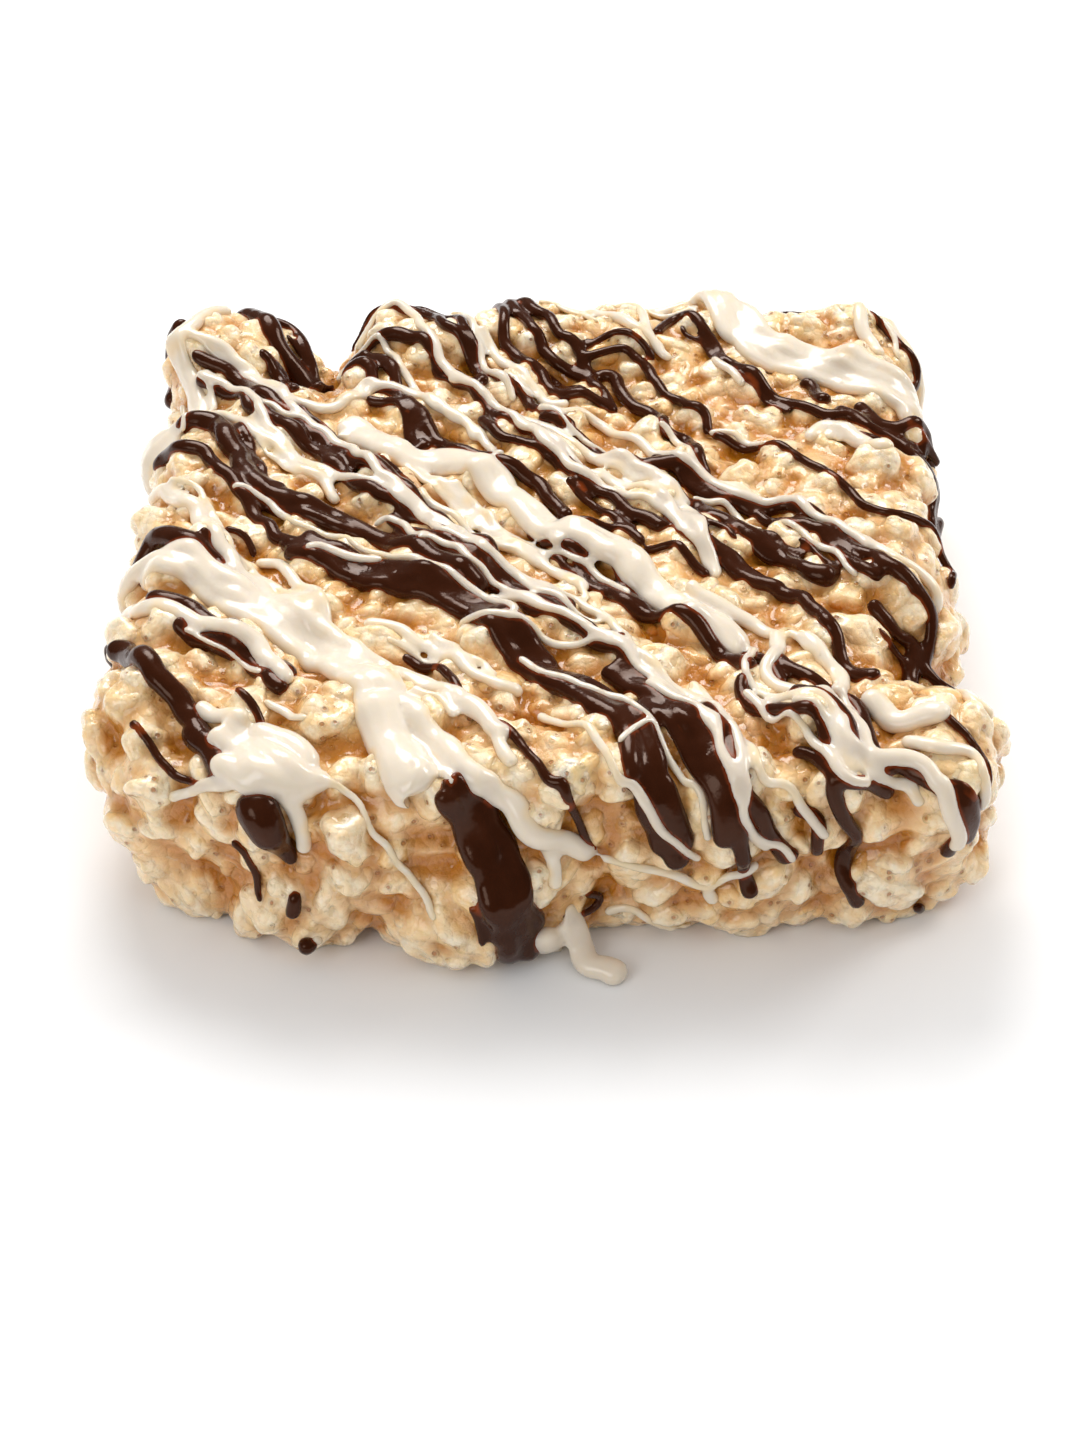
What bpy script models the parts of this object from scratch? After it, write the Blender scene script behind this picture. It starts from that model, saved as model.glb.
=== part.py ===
"""Puffed rice treat: one square block of stuck-together grains with thick drizzle lying over it.

Metres, +Z up. The block rests on its flat underside at z = 0, centred on the origin,
and the side with the long drips faces -Y.
"""
import math
import random

import bmesh
import bpy
from mathutils import Euler, Matrix, Vector, noise
from mathutils.bvhtree import BVHTree

MM = 0.001
HALF_X = 41.4
HALF_Y = 40.2
HEIGHT = 20.6
EDGE_RADIUS = 4.6
CELLS_X = 15
CELLS_Y = 15
CELLS_Z = 4
BUMP_PITCH = 9.0
BUMP_HEIGHT = 0.9
SWELL = 0.9
GRAIN_COUNT = 158
GRAIN_GAP = 6.7
GRAIN_SIZE = (3.5, 2.3, 2.1)
GRAIN_SINK = 0.3
LOWEST = 0.15
STEP = 6.6
STRAND_SINK = 0.1
END_TAPER = 0.36
END_SIZE = 0.45
REACH = 12.0
FRONT_FOLD = -41.0
SEED = 19

# Crags (positive) and hollows (negative): x, y, z, reach and push, all in millimetres.
LOBES = (
    (-6.0, 41.0, 18.0, 11.0, 3.0),
    (14.0, 42.0, 18.0, 12.0, 3.0),
    (32.0, 40.0, 17.0, 10.0, 2.4),
    (-36.0, 39.0, 16.0, 8.0, 2.0),
    (-44.0, -28.0, 13.0, 8.0, 3.4),
    (44.0, -27.0, 13.0, 8.0, 3.6),
    (44.0, 18.0, 12.0, 9.0, 2.0),
    (-43.0, 12.0, 14.0, 9.0, 1.8),
    (-8.0, -42.0, 4.0, 8.0, 4.4),
    (-21.0, -41.0, 5.0, 6.0, 2.2),
    (38.0, -2.0, 21.0, 9.0, 1.2),
    (-16.0, -41.0, 3.0, 3.6, -2.6),
    (-38.0, -41.0, 4.0, 9.0, -4.6),
    (-38.0, -38.0, 20.0, 8.0, -3.4),
    (42.0, -41.0, 4.0, 8.0, -2.4),
    (39.0, -21.0, 19.0, 5.4, -6.5),
    (-25.0, 41.0, 19.0, 3.8, -6.5),
    (-25.0, 41.0, 13.0, 3.4, -3.0),
    (-25.0, 35.0, 21.0, 3.6, -4.0),
    (43.0, 29.0, 15.0, 3.6, -2.8),
    (42.0, 6.0, 17.0, 3.6, -2.8),
    (-23.0, -21.0, 21.0, 3.4, -2.6),
    (25.0, 24.0, 21.0, 3.6, -2.8),
    (-1.0, -32.0, 21.0, 3.4, -2.4),
    (29.0, -40.0, 11.0, 3.0, -2.6),
)

# Thick drizzle, in plan: width, then x and y along it. A y beyond the fold runs down the front.
STRANDS = (
    (3.6, ((-39.0, 31.0), (-26.0, 16.0), (-10.0, -4.5), (8.0, -22.0))),
    (2.8, ((7.0, -24.0), (15.0, -36.0), (18.0, -47.0))),
    (3.2, ((-41.0, 20.0), (-29.0, 4.0), (-16.0, -4.0), (-6.0, -13.0))),
    (4.2, ((-27.0, -4.0), (-8.0, -15.0), (4.5, -30.0), (10.0, -41.0), (13.0, -49.0))),
    (3.2, ((-21.0, 38.0), (-9.0, 27.0), (0.0, 14.0))),
    (2.8, ((-2.0, -1.0), (10.0, -14.0), (20.5, -26.0))),
    (2.8, ((16.0, 4.5), (24.0, -4.0), (31.0, -12.0))),
    (3.4, ((23.0, -23.0), (31.0, -35.0), (38.0, -45.0))),
    (2.4, ((24.0, -36.5), (28.0, -46.0), (31.0, -57.0))),
    (5.0, ((-10.6, -37.0), (-5.0, -47.0), (-2.8, -60.0))),
    (3.4, ((-41.0, -6.0), (-30.0, -14.0))),
    (3.2, ((-36.0, 38.0), (-39.0, 24.0), (-42.0, 15.0))),
    (4.0, ((-20.0, 16.5), (0.0, -2.0), (21.0, -21.0))),
    (4.2, ((0.0, 41.0), (22.0, 35.0), (41.0, 21.0))),
    (2.8, ((-40.0, 8.0), (-28.0, -8.0), (-15.0, -24.0))),
    (4.2, ((-40.0, -10.0), (-26.0, -27.0), (-12.0, -42.0))),
    (6.4, ((-28.0, -38.0), (-22.0, -40.5))),
)


def clamp(value, low, high):
    return min(max(value, low), high)


def wrap(point):
    """Round a point on the plain box, giving it and the way out there."""
    inner = Vector((
        clamp(point.x, EDGE_RADIUS - HALF_X, HALF_X - EDGE_RADIUS),
        clamp(point.y, EDGE_RADIUS - HALF_Y, HALF_Y - EDGE_RADIUS),
        min(point.z, HEIGHT - EDGE_RADIUS),
    ))
    out = (point - inner).normalized()
    return inner + out * EDGE_RADIUS, out


def shape(point, out):
    """Push a rounded point in or out for the crags, hollows and slow swells."""
    push = 0.0
    for x, y, z, reach, height in LOBES:
        away = (point - Vector((x, y, z))).length / reach
        push += height * math.exp(-away * away)
    push += SWELL * noise.noise(point / 15.0 + Vector((3.1, 7.7, 1.3)))
    if point.z < 3.0:
        push -= 1.3 * (1.0 - point.z / 3.0)
    return point + out * push


def bump(point):
    """Height of the grain-sized bump at a point."""
    near = noise.voronoi(point / BUMP_PITCH + Vector((11.0, 5.0, 2.0)))[0][0]
    return BUMP_HEIGHT * (1.0 - min(1.0, near / 0.75) ** 2)


def core_block():
    """The block without its loose grains: a box cut into cells, rounded, pushed about and bumped."""
    mesh = bmesh.new()
    bmesh.ops.create_cube(mesh, size=1.0)
    bmesh.ops.scale(mesh, vec=(2.0 * HALF_X, 2.0 * HALF_Y, HEIGHT), verts=mesh.verts[:])
    bmesh.ops.translate(mesh, vec=(0.0, 0.0, 0.5 * HEIGHT), verts=mesh.verts[:])
    under = [face for face in mesh.faces if face.normal.z < -0.5]
    bmesh.ops.delete(mesh, geom=under, context='FACES_ONLY')
    for axis, cells in enumerate((CELLS_X, CELLS_Y, CELLS_Z)):
        lines = [edge for edge in mesh.edges if abs((edge.verts[1].co - edge.verts[0].co)[axis]) > 1.0]
        bmesh.ops.subdivide_edges(mesh, edges=lines, cuts=cells - 1, use_grid_fill=True)
    for vert in mesh.verts:
        point, out = wrap(vert.co)
        swelled = shape(point, out)
        vert.co = swelled + out * bump(swelled)
    rim = [edge for edge in mesh.edges if edge.is_boundary]
    bmesh.ops.contextual_create(mesh, geom=rim)
    bmesh.ops.triangulate(mesh, faces=mesh.faces[:])
    bmesh.ops.recalc_face_normals(mesh, faces=mesh.faces[:])
    return mesh


def spots(rng, count, gap):
    """Evenly spread places on the top and sides, picked by chance and kept a gap apart."""
    found = []
    top_area = 4.0 * HALF_X * HALF_Y
    side_area = 4.0 * (HALF_X + HALF_Y) * HEIGHT
    tries = 0
    while len(found) < count and tries < 20000:
        tries += 1
        if rng.random() < top_area / (top_area + side_area):
            plain = Vector((rng.uniform(-HALF_X, HALF_X), rng.uniform(-HALF_Y, HALF_Y), HEIGHT))
        else:
            z = rng.uniform(2.0, HEIGHT)
            along = rng.uniform(0.0, 4.0 * (HALF_X + HALF_Y))
            side = rng.choice((-1.0, 1.0))
            if along < 4.0 * HALF_X:
                plain = Vector((along / 2.0 - HALF_X, side * HALF_Y, z))
            else:
                plain = Vector((side * HALF_X, (along - 4.0 * HALF_X) / 2.0 - HALF_Y, z))
        point, out = wrap(plain)
        place = shape(point, out)
        if all((place - other).length > gap for other, way in found):
            found.append((place, out))
    return found


def link(name, mesh, holder):
    """Turn a millimetre bmesh into an object of the given collection."""
    bmesh.ops.scale(mesh, vec=(MM, MM, MM), verts=mesh.verts[:])
    data = bpy.data.meshes.new(name)
    mesh.to_mesh(data)
    mesh.free()
    piece = bpy.data.objects.new(name, data)
    holder.objects.link(piece)
    return piece


def grain(rng, place, out, size):
    """One grain lying along the surface, half sunk in it."""
    mesh = bmesh.new()
    bmesh.ops.create_uvsphere(mesh, u_segments=5, v_segments=4, radius=1.0)
    bmesh.ops.rotate(mesh, verts=mesh.verts[:], matrix=Matrix.Rotation(math.pi / 2.0, 3, 'Y'))
    bmesh.ops.scale(mesh, vec=[part * size for part in GRAIN_SIZE], verts=mesh.verts[:])
    tilt = Euler((rng.uniform(-0.4, 0.4), rng.uniform(-0.35, 0.35), rng.uniform(0.0, 6.28)))
    lie = out.to_track_quat('Z', 'Y').to_matrix() @ tilt.to_matrix()
    bmesh.ops.rotate(mesh, verts=mesh.verts[:], matrix=lie)
    centre = place + out * (BUMP_HEIGHT - GRAIN_SINK * GRAIN_SIZE[2] * size)
    for vert in mesh.verts:
        vert.co += centre
        vert.co.z = max(vert.co.z, LOWEST + 0.02 * vert.index)
    return mesh


def over(u, v):
    """The plain-box place and way out for a point in plan, folded down the front."""
    if v >= FRONT_FOLD:
        plain = Vector((clamp(u, -HALF_X, HALF_X), clamp(v, -HALF_Y, HALF_Y), HEIGHT))
    else:
        plain = Vector((clamp(u, -HALF_X, HALF_X), -HALF_Y, HEIGHT + (v - FRONT_FOLD)))
    return wrap(plain)


def route(points):
    """Even steps along a polyline in plan."""
    steps = []
    for (u0, v0), (u1, v1) in zip(points, points[1:]):
        length = math.hypot(u1 - u0, v1 - v0)
        count = max(1, round(length / STEP))
        for i in range(count):
            t = i / count
            steps.append((u0 + (u1 - u0) * t, v0 + (v1 - v0) * t))
    steps.append(points[-1])
    return steps


def strand_path(tree, width, points):
    """Centres of a strand laid on whatever is under it, a little sunk."""
    spots_under = []
    for u, v in route(points):
        plain, out = over(u, v)
        point = shape(plain, out)
        hit = tree.ray_cast((point + out * REACH) * MM, -out, 2.0 * REACH * MM)[0]
        lift = BUMP_HEIGHT if hit is None else (hit / MM - point).dot(out)
        spots_under.append((point, out, lift))
    lifts = [lift for point, out, lift in spots_under]
    path = []
    for i, (point, out, lift) in enumerate(spots_under):
        around = lifts[max(0, i - 1):i + 2]
        level = 0.5 * max(around) + 0.5 * sum(around) / len(around)
        path.append(point + out * (level - STRAND_SINK * width))
    return path


def strand(name, tree, width, points, holder):
    """A low-sided strand of drizzle with tapered ends, made a mesh so that it can be fused."""
    path = strand_path(tree, width, points)
    path.insert(0, path[0] + (path[0] - path[1]).normalized() * END_TAPER * width)
    path.append(path[-1] + (path[-1] - path[-2]).normalized() * END_TAPER * width)
    line = bpy.data.curves.new(name, 'CURVE')
    line.dimensions = '3D'
    line.bevel_depth = 0.5 * width * MM
    line.bevel_resolution = 1
    line.use_fill_caps = True
    spline = line.splines.new('POLY')
    spline.points.add(len(path) - 1)
    for place, spot in zip(spline.points, path):
        place.co = (spot.x * MM, spot.y * MM, max(spot.z, 0.5 * width + LOWEST) * MM, 1.0)
    spline.points[0].radius = END_SIZE
    spline.points[-1].radius = END_SIZE
    guide = bpy.data.objects.new(name + "_line", line)
    holder.objects.link(guide)
    shown = guide.evaluated_get(bpy.context.evaluated_depsgraph_get())
    data = bpy.data.meshes.new_from_object(shown)
    bpy.data.objects.remove(guide, do_unlink=True)
    mesh = bmesh.new()
    mesh.from_mesh(data)
    bmesh.ops.remove_doubles(mesh, verts=mesh.verts[:], dist=0.01 * MM)
    bmesh.ops.triangulate(mesh, faces=mesh.faces[:])
    bmesh.ops.recalc_face_normals(mesh, faces=mesh.faces[:])
    mesh.to_mesh(data)
    mesh.free()
    piece = bpy.data.objects.new(name, data)
    holder.objects.link(piece)


def keep_largest(piece):
    """Fill sealed hollows and drop loose scraps by keeping only the largest shell."""
    mesh = bmesh.new()
    mesh.from_mesh(piece.data)
    left = set(mesh.verts)
    shells = []
    while left:
        edge = [left.pop()]
        shell = list(edge)
        while edge:
            vert = edge.pop()
            for line in vert.link_edges:
                other = line.other_vert(vert)
                if other in left:
                    left.remove(other)
                    edge.append(other)
                    shell.append(other)
        shells.append(shell)
    shells.sort(key=len, reverse=True)
    for shell in shells[1:]:
        bmesh.ops.delete(mesh, geom=shell, context='VERTS')
    bmesh.ops.triangulate(mesh, faces=mesh.faces[:])
    mesh.to_mesh(piece.data)
    mesh.free()


def material():
    """Pale glossy puffed rice held in marshmallow."""
    rice = bpy.data.materials.new("puffed_rice")
    rice.use_nodes = True
    shader = rice.node_tree.nodes["Principled BSDF"]
    shader.inputs["Base Color"].default_value = (0.79, 0.60, 0.32, 1.0)
    shader.inputs["Roughness"].default_value = 0.35
    return rice


def main():
    for old in list(bpy.data.objects):
        bpy.data.objects.remove(old, do_unlink=True)
    scene = bpy.context.scene
    holder = bpy.data.collections.new("puffed_rice_treat")
    scene.collection.children.link(holder)
    toppings = bpy.data.collections.new("toppings")
    scene.collection.children.link(toppings)
    rng = random.Random(SEED)

    treat = link("treat", core_block(), holder)
    treat.data.materials.append(material())
    places = spots(rng, GRAIN_COUNT, GRAIN_GAP)
    sizes = sorted((rng.uniform(0.85, 1.2) for spot in places), reverse=True)
    for index, ((place, out), size) in enumerate(zip(places, sizes)):
        link(f"grain_{index:03d}", grain(rng, place, out, size), toppings)
    ground = bmesh.new()
    ground.from_mesh(treat.data)
    tree = BVHTree.FromBMesh(ground)
    ground.free()
    for index, (width, points) in enumerate(STRANDS):
        strand(f"strand_{index:02d}", tree, width, points, toppings)

    fuse = treat.modifiers.new("fuse", 'BOOLEAN')
    fuse.operation = 'UNION'
    fuse.solver = 'MANIFOLD'
    fuse.operand_type = 'COLLECTION'
    fuse.collection = toppings
    shown = treat.evaluated_get(bpy.context.evaluated_depsgraph_get())
    fused = bpy.data.meshes.new_from_object(shown)
    treat.modifiers.remove(fuse)
    treat.data = fused
    fused.name = "treat"
    for piece in list(toppings.objects):
        bpy.data.objects.remove(piece, do_unlink=True)
    bpy.data.collections.remove(toppings)
    keep_largest(treat)
    print("treat triangles", len(treat.data.polygons))


main()
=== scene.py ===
import math
import random

import bmesh
import bpy
import numpy as np
from mathutils import Matrix, Vector, noise


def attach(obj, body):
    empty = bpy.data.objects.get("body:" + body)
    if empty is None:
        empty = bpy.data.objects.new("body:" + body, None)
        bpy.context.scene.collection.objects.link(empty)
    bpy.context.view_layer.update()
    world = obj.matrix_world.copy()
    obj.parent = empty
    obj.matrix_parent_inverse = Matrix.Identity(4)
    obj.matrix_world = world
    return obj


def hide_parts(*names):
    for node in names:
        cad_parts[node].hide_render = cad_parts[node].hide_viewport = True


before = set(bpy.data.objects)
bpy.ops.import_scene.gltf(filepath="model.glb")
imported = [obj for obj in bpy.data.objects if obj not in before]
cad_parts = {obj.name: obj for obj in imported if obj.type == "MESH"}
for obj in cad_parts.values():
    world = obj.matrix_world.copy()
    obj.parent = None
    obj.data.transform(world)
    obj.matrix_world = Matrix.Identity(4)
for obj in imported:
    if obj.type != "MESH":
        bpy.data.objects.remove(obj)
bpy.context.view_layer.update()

# Meshes are made in millimetres and turned to metres when each piece is finished.
mm = 0.001


# Small tools

def rgb(hexColour):
    # sRGB hex to the linear colour that a shader takes
    parts = [int(hexColour[i:i + 2], 16) / 255 for i in (1, 3, 5)]
    return [p / 12.92 if p <= 0.04045 else ((p + 0.055) / 1.055) ** 2.4 for p in parts] + [1.0]


def put(tree, kind, feeds=None, **settings):
    # adds one node with its settings, then its values and links by the socket's name or number
    # (a Map Range reads from 1 to 2 and gives from 3 to 4)
    made = tree.nodes.new(kind)
    for name, value in settings.items():
        setattr(made, name, value)
    for key, value in (feeds or {}).items():
        if isinstance(value, bpy.types.NodeSocket):
            tree.links.new(value, made.inputs[key])
        else:
            made.inputs[key].default_value = value
    return made


def newMesh(name, points, edges=(), faces=()):
    mesh = bpy.data.meshes.new(name)
    mesh.from_pydata([tuple(p) for p in points], [tuple(e) for e in edges], [tuple(f) for f in faces])
    mesh.update()
    return mesh


def newObject(name, mesh):
    made = bpy.data.objects.new(name, mesh)
    bpy.context.scene.collection.objects.link(made)
    return made


def remove(*objects):
    for old in objects:
        bpy.data.objects.remove(old, do_unlink=True)


def bake(source, name):
    # the evaluated object as a plain mesh, with nothing live left on it
    bpy.context.view_layer.update()
    shown = source.evaluated_get(bpy.context.evaluated_depsgraph_get())
    mesh = bpy.data.meshes.new_from_object(shown)
    remove(source)
    mesh.name = name
    return newObject(name, mesh)


def copyOf(piece):
    return newObject(piece.name + "_copy", piece.data.copy())


def closeMesh(name, mesh):
    # turns what bmesh has built into a mesh
    data = bpy.data.meshes.new(name)
    mesh.to_mesh(data)
    mesh.free()
    return data


def readVectors(mesh, kind):
    # "co" for each vertex's place, "normal" for its way out
    flat = np.empty(len(mesh.vertices) * 3, dtype=np.float32)
    mesh.vertices.foreach_get(kind, flat)
    return flat.reshape(-1, 3).astype(float)


def writePoints(mesh, points):
    mesh.vertices.foreach_set("co", np.asarray(points, dtype=np.float32).ravel())
    mesh.update()


def keepAbove(piece, lowest):
    # nothing goes through the ground
    points = readVectors(piece.data, "co")
    points[:, 2] = np.maximum(points[:, 2], lowest)
    writePoints(piece.data, points)


def writeValue(mesh, name, values):
    layer = mesh.attributes.get(name) or mesh.attributes.new(name, 'FLOAT', 'POINT')
    layer.data.foreach_set("value", np.asarray(values, dtype=np.float32))


def finishPiece(piece, material):
    piece.data.materials.clear()
    piece.data.materials.append(material)
    piece.data.transform(Matrix.Scale(mm, 4))
    piece.data.shade_smooth()
    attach(piece, "root")
    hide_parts("treat")
    print(piece.name, len(piece.data.polygons), "faces")


# The block's form: a rounded box with its crags and hollows

block = {
    "halfWidth": 41.0, "halfDepth": 40.0, "height": 19.8, "edgeRadius": 4.2,
    # height, width and place in the noise of the long swells and of the crags
    "swell": 1.0, "swellWidth": 15, "swellSeed": (3.1, 7.7, 1.3),
    "crag": 1.9, "cragWidth": 6.5, "cragSeed": (9.4, 2.2, 6.1),
    # how far the foot draws in, and from what height
    "footInset": 2.4, "footHeight": 4,
    # lobes pushed out and hollows pulled in: x, y, z, reach, push
    "lobes": [
        (-6, 44, 9, 10, 2.2), (14, 45, 9, 11, 3.0), (32, 43, 9, 10, 3.0), (-36, 42, 10, 8, 2.8),
        (-14, 41, 18, 6.5, 1.4), (0, 41, 18, 6.5, 1.9), (-15, 37, 20, 6.5, 2.4), (-4, 38, 20, 6.5, 1.5),
        (12, 41, 18, 6.5, 2.2), (24, 41, 18, 6.5, 2.2), (35, 41, 18, 6.5, 2.0), (-37, 38, 20, 6.5, 2.4),
        (-44, -28, 13, 8, 2.6), (44, -27, 13, 8, 2.4), (44, 18, 12, 9, 2.0), (-43, 12, 14, 9, 1.8),
        (-8, -42, 3, 7.5, 6.2), (-21, -41, 5, 6, 2.4), (38, -2, 21, 9, 1.2), (-16, -41, 3, 3.6, -2.6),
        (-38, -41, 4, 9, -4.6), (-38, -38, 20, 8, -3.4), (42, -41, 4, 8, -2.4), (39, -21, 19, 5.6, -7.5),
        (-25, 42, 19, 4.6, -5.4), (-25.5, 35, 21, 4.6, -8.5), (-27, 31, 21, 3.4, -3.0),
        (43, 29, 15, 3.6, -2.8), (42, 6, 17, 3.6, -2.8), (-23, -21, 21, 3.4, -2.6),
        (25, 24, 21, 3.6, -2.8), (-1, -32, 21, 3.4, -2.4), (29, -40, 11, 3.0, -2.6),
    ],
}


def onBlock(plain):
    # places on the plain box, rounded and pushed to the block's form, with the way out at each
    w, d, h, r = (block[key] for key in ("halfWidth", "halfDepth", "height", "edgeRadius"))
    plain = np.asarray(plain, dtype=float)
    inner = np.column_stack((
        np.clip(plain[:, 0], r - w, w - r), np.clip(plain[:, 1], r - d, d - r),
        np.minimum(plain[:, 2], h - r)))
    out = plain - inner
    out /= np.maximum(np.linalg.norm(out, axis=1), 1e-6)[:, None]
    place = inner + out * r
    push = np.zeros(len(place))
    for x, y, z, reach, height in block["lobes"]:
        away = np.linalg.norm(place - (x, y, z), axis=1) / reach
        push += height * np.exp(-away * away)
    for name in ("swell", "crag"):
        width, seed = block[name + "Width"], Vector(block[name + "Seed"])
        push += block[name] * np.array([noise.noise(Vector(p) / width + seed) for p in place])
    push -= block["footInset"] * np.clip(1 - place[:, 2] / block["footHeight"], 0, 1) ** 1.5
    return place + out * push[:, None], out


def makeBlock(name, inset, cell=1.6):
    # a box cut into cells and pushed to the block's form, or to that less an inset
    w, d, h = block["halfWidth"], block["halfDepth"], block["height"]
    mesh = bmesh.new()
    bmesh.ops.create_cube(mesh, size=1)
    bmesh.ops.scale(mesh, vec=(2 * w, 2 * d, h), verts=mesh.verts[:])
    bmesh.ops.translate(mesh, vec=(0, 0, h / 2), verts=mesh.verts[:])
    for axis, length in enumerate((2 * w, 2 * d, h)):
        lines = [e for e in mesh.edges if abs((e.verts[1].co - e.verts[0].co)[axis]) > 1]
        bmesh.ops.subdivide_edges(mesh, edges=lines, cuts=round(length / cell) - 1, use_grid_fill=True)
    data = closeMesh(name, mesh)
    plain = readVectors(data, "co")
    under = plain[:, 2] < 0.01
    place, out = onBlock(plain)
    place = place - out * inset
    # the underside stays flat, drawn in a little with the rest
    edgeDistance = np.maximum(abs(plain[:, 0]) / w, abs(plain[:, 1]) / d)
    inside = under & (edgeDistance < 0.999)
    place[inside] = plain[inside] * (0.95, 0.95, 1)
    place[under, 2] = inset
    writePoints(data, place)
    return newObject(name, data)


# Puffed rice

grains = {
    # what each kind is called, its length, width and thickness, the height of its blisters, and its pits
    "kinds": [
        ("whole", (7.0, 4.4, 3.8), 0.7, 4),
        ("plump", (6.4, 5.2, 4.2), 0.75, 5),
        ("slim", (7.4, 3.7, 3.2), 0.6, 4),
        ("broken", (5.2, 4.6, 3.7), 0.9, 6),
        ("blistered", (6.2, 4.8, 4.0), 1.0, 6),
    ],
    "triangles": 1000,
    # shares of the size: how uneven, how deep the groove, how far it bends down and to a side
    "uneven": 0.3, "groove": 0.12, "bend": 0.06, "sideBend": 0.08,
    # widths of the lumps, bubbles and crackle, and the heights of the crackle and the pits
    "lump": 2.1, "bubble": 2.2, "crackle": 0.9, "crackleHeight": 0.09, "pitDepth": 0.4,
    # the height that a grain falls from, and how far it may fall
    "drop": 6.0, "farthest": 14.0,
    # how each layer is spread over the block
    "lying": {"Gap": 3.7, "Lift": -0.1, "Uneven": 0.9, "Tilt": 0.7, "Smallest": 0.75, "Largest": 1.2},
    "perched": {"Gap": 10.5, "Lift": 0.5, "Uneven": 0.4, "Tilt": 0.8, "Smallest": 0.75, "Largest": 1.0},
    "sunk": {"Gap": 3.1, "Lift": -1.0, "Uneven": 0.6, "Tilt": 0.6, "Smallest": 0.8, "Largest": 1.2},
}


def makeGrain(name, seed, size, blister, pits):
    # one puffed grain: a bent, lumpy capsule of burst bubbles with open pores
    mesh = bmesh.new()
    bmesh.ops.create_icosphere(mesh, subdivisions=5, radius=1)
    length, width, thick = size
    shift = Vector((seed * 7.3, seed * 3.1, seed * 5.7))
    chance = random.Random(seed)
    holes = []
    for _ in range(pits):
        turn = chance.uniform(0, 6.28)
        along = chance.uniform(-0.8, 0.8)
        around = math.sqrt(1 - along * along)
        centre = Vector((along, around * math.cos(turn), around * math.sin(turn)))
        holes.append((centre, chance.uniform(0.1, 0.2)))
    for vert in mesh.verts:
        way = vert.co.normalized()
        x, y, z = way
        plump = 1 + grains["uneven"] * noise.noise(Vector((x * 1.4, 0, 0)) + shift)
        groove = 1 - grains["groove"] * math.exp(-(y / 0.3) ** 2) * max(z, 0)
        place = Vector((
            math.copysign(abs(x) ** 0.9, x) * length / 2, y * width / 2 * plump,
            z * thick / 2 * plump * groove))
        place.z -= grains["bend"] * length * (x * x - 0.3)
        place.y += grains["sideBend"] * length * (x * x - 0.3) * math.sin(seed * 2.1)
        rough = noise.noise(place / grains["lump"] + shift) * blister
        # bubbles stand out round and meet in creases
        near = min(noise.voronoi(place / grains["bubble"] + shift)[0][0], 1)
        rough += (0.45 - near * near) * blister * 0.6
        near = min(noise.voronoi(place / grains["crackle"] + shift)[0][0], 1)
        rough += (0.4 - near) * grains["crackleHeight"]
        for centre, reach in holes:
            rough -= grains["pitDepth"] * math.exp(-((way - centre).length / reach) ** 2)
        vert.co = place + way * rough
    fine = newObject(name + "_fine", closeMesh(name, mesh))
    modifier = fine.modifiers.new("thin", 'DECIMATE')
    modifier.ratio = grains["triangles"] / len(fine.data.polygons)
    return bake(fine, name)


def startTree(name, objects=(), texts=(), floats=(), wholes=()):
    # a Geometry Nodes tree with its named inputs, each float with the value that it starts from
    tree = bpy.data.node_groups.new(name, 'GeometryNodeTree')
    socket = tree.interface.new_socket
    socket("Geometry", in_out='INPUT', socket_type='NodeSocketGeometry')
    for label in objects:
        socket(label, in_out='INPUT', socket_type='NodeSocketObject')
    for label in texts:
        socket(label, in_out='INPUT', socket_type='NodeSocketString')
    for label, value in floats:
        socket(label, in_out='INPUT', socket_type='NodeSocketFloat').default_value = value
    for label in wholes:
        socket(label, in_out='INPUT', socket_type='NodeSocketInt')
    socket("Geometry", in_out='OUTPUT', socket_type='NodeSocketGeometry')
    return tree, put(tree, 'NodeGroupInput').outputs


def endTree(tree, made):
    real = put(tree, 'GeometryNodeRealizeInstances', {0: made})
    coat = put(tree, 'GeometryNodeSetMaterial', {0: real.outputs[0]})
    put(tree, 'NodeGroupOutput', {0: coat.outputs[0]})
    return tree


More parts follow.
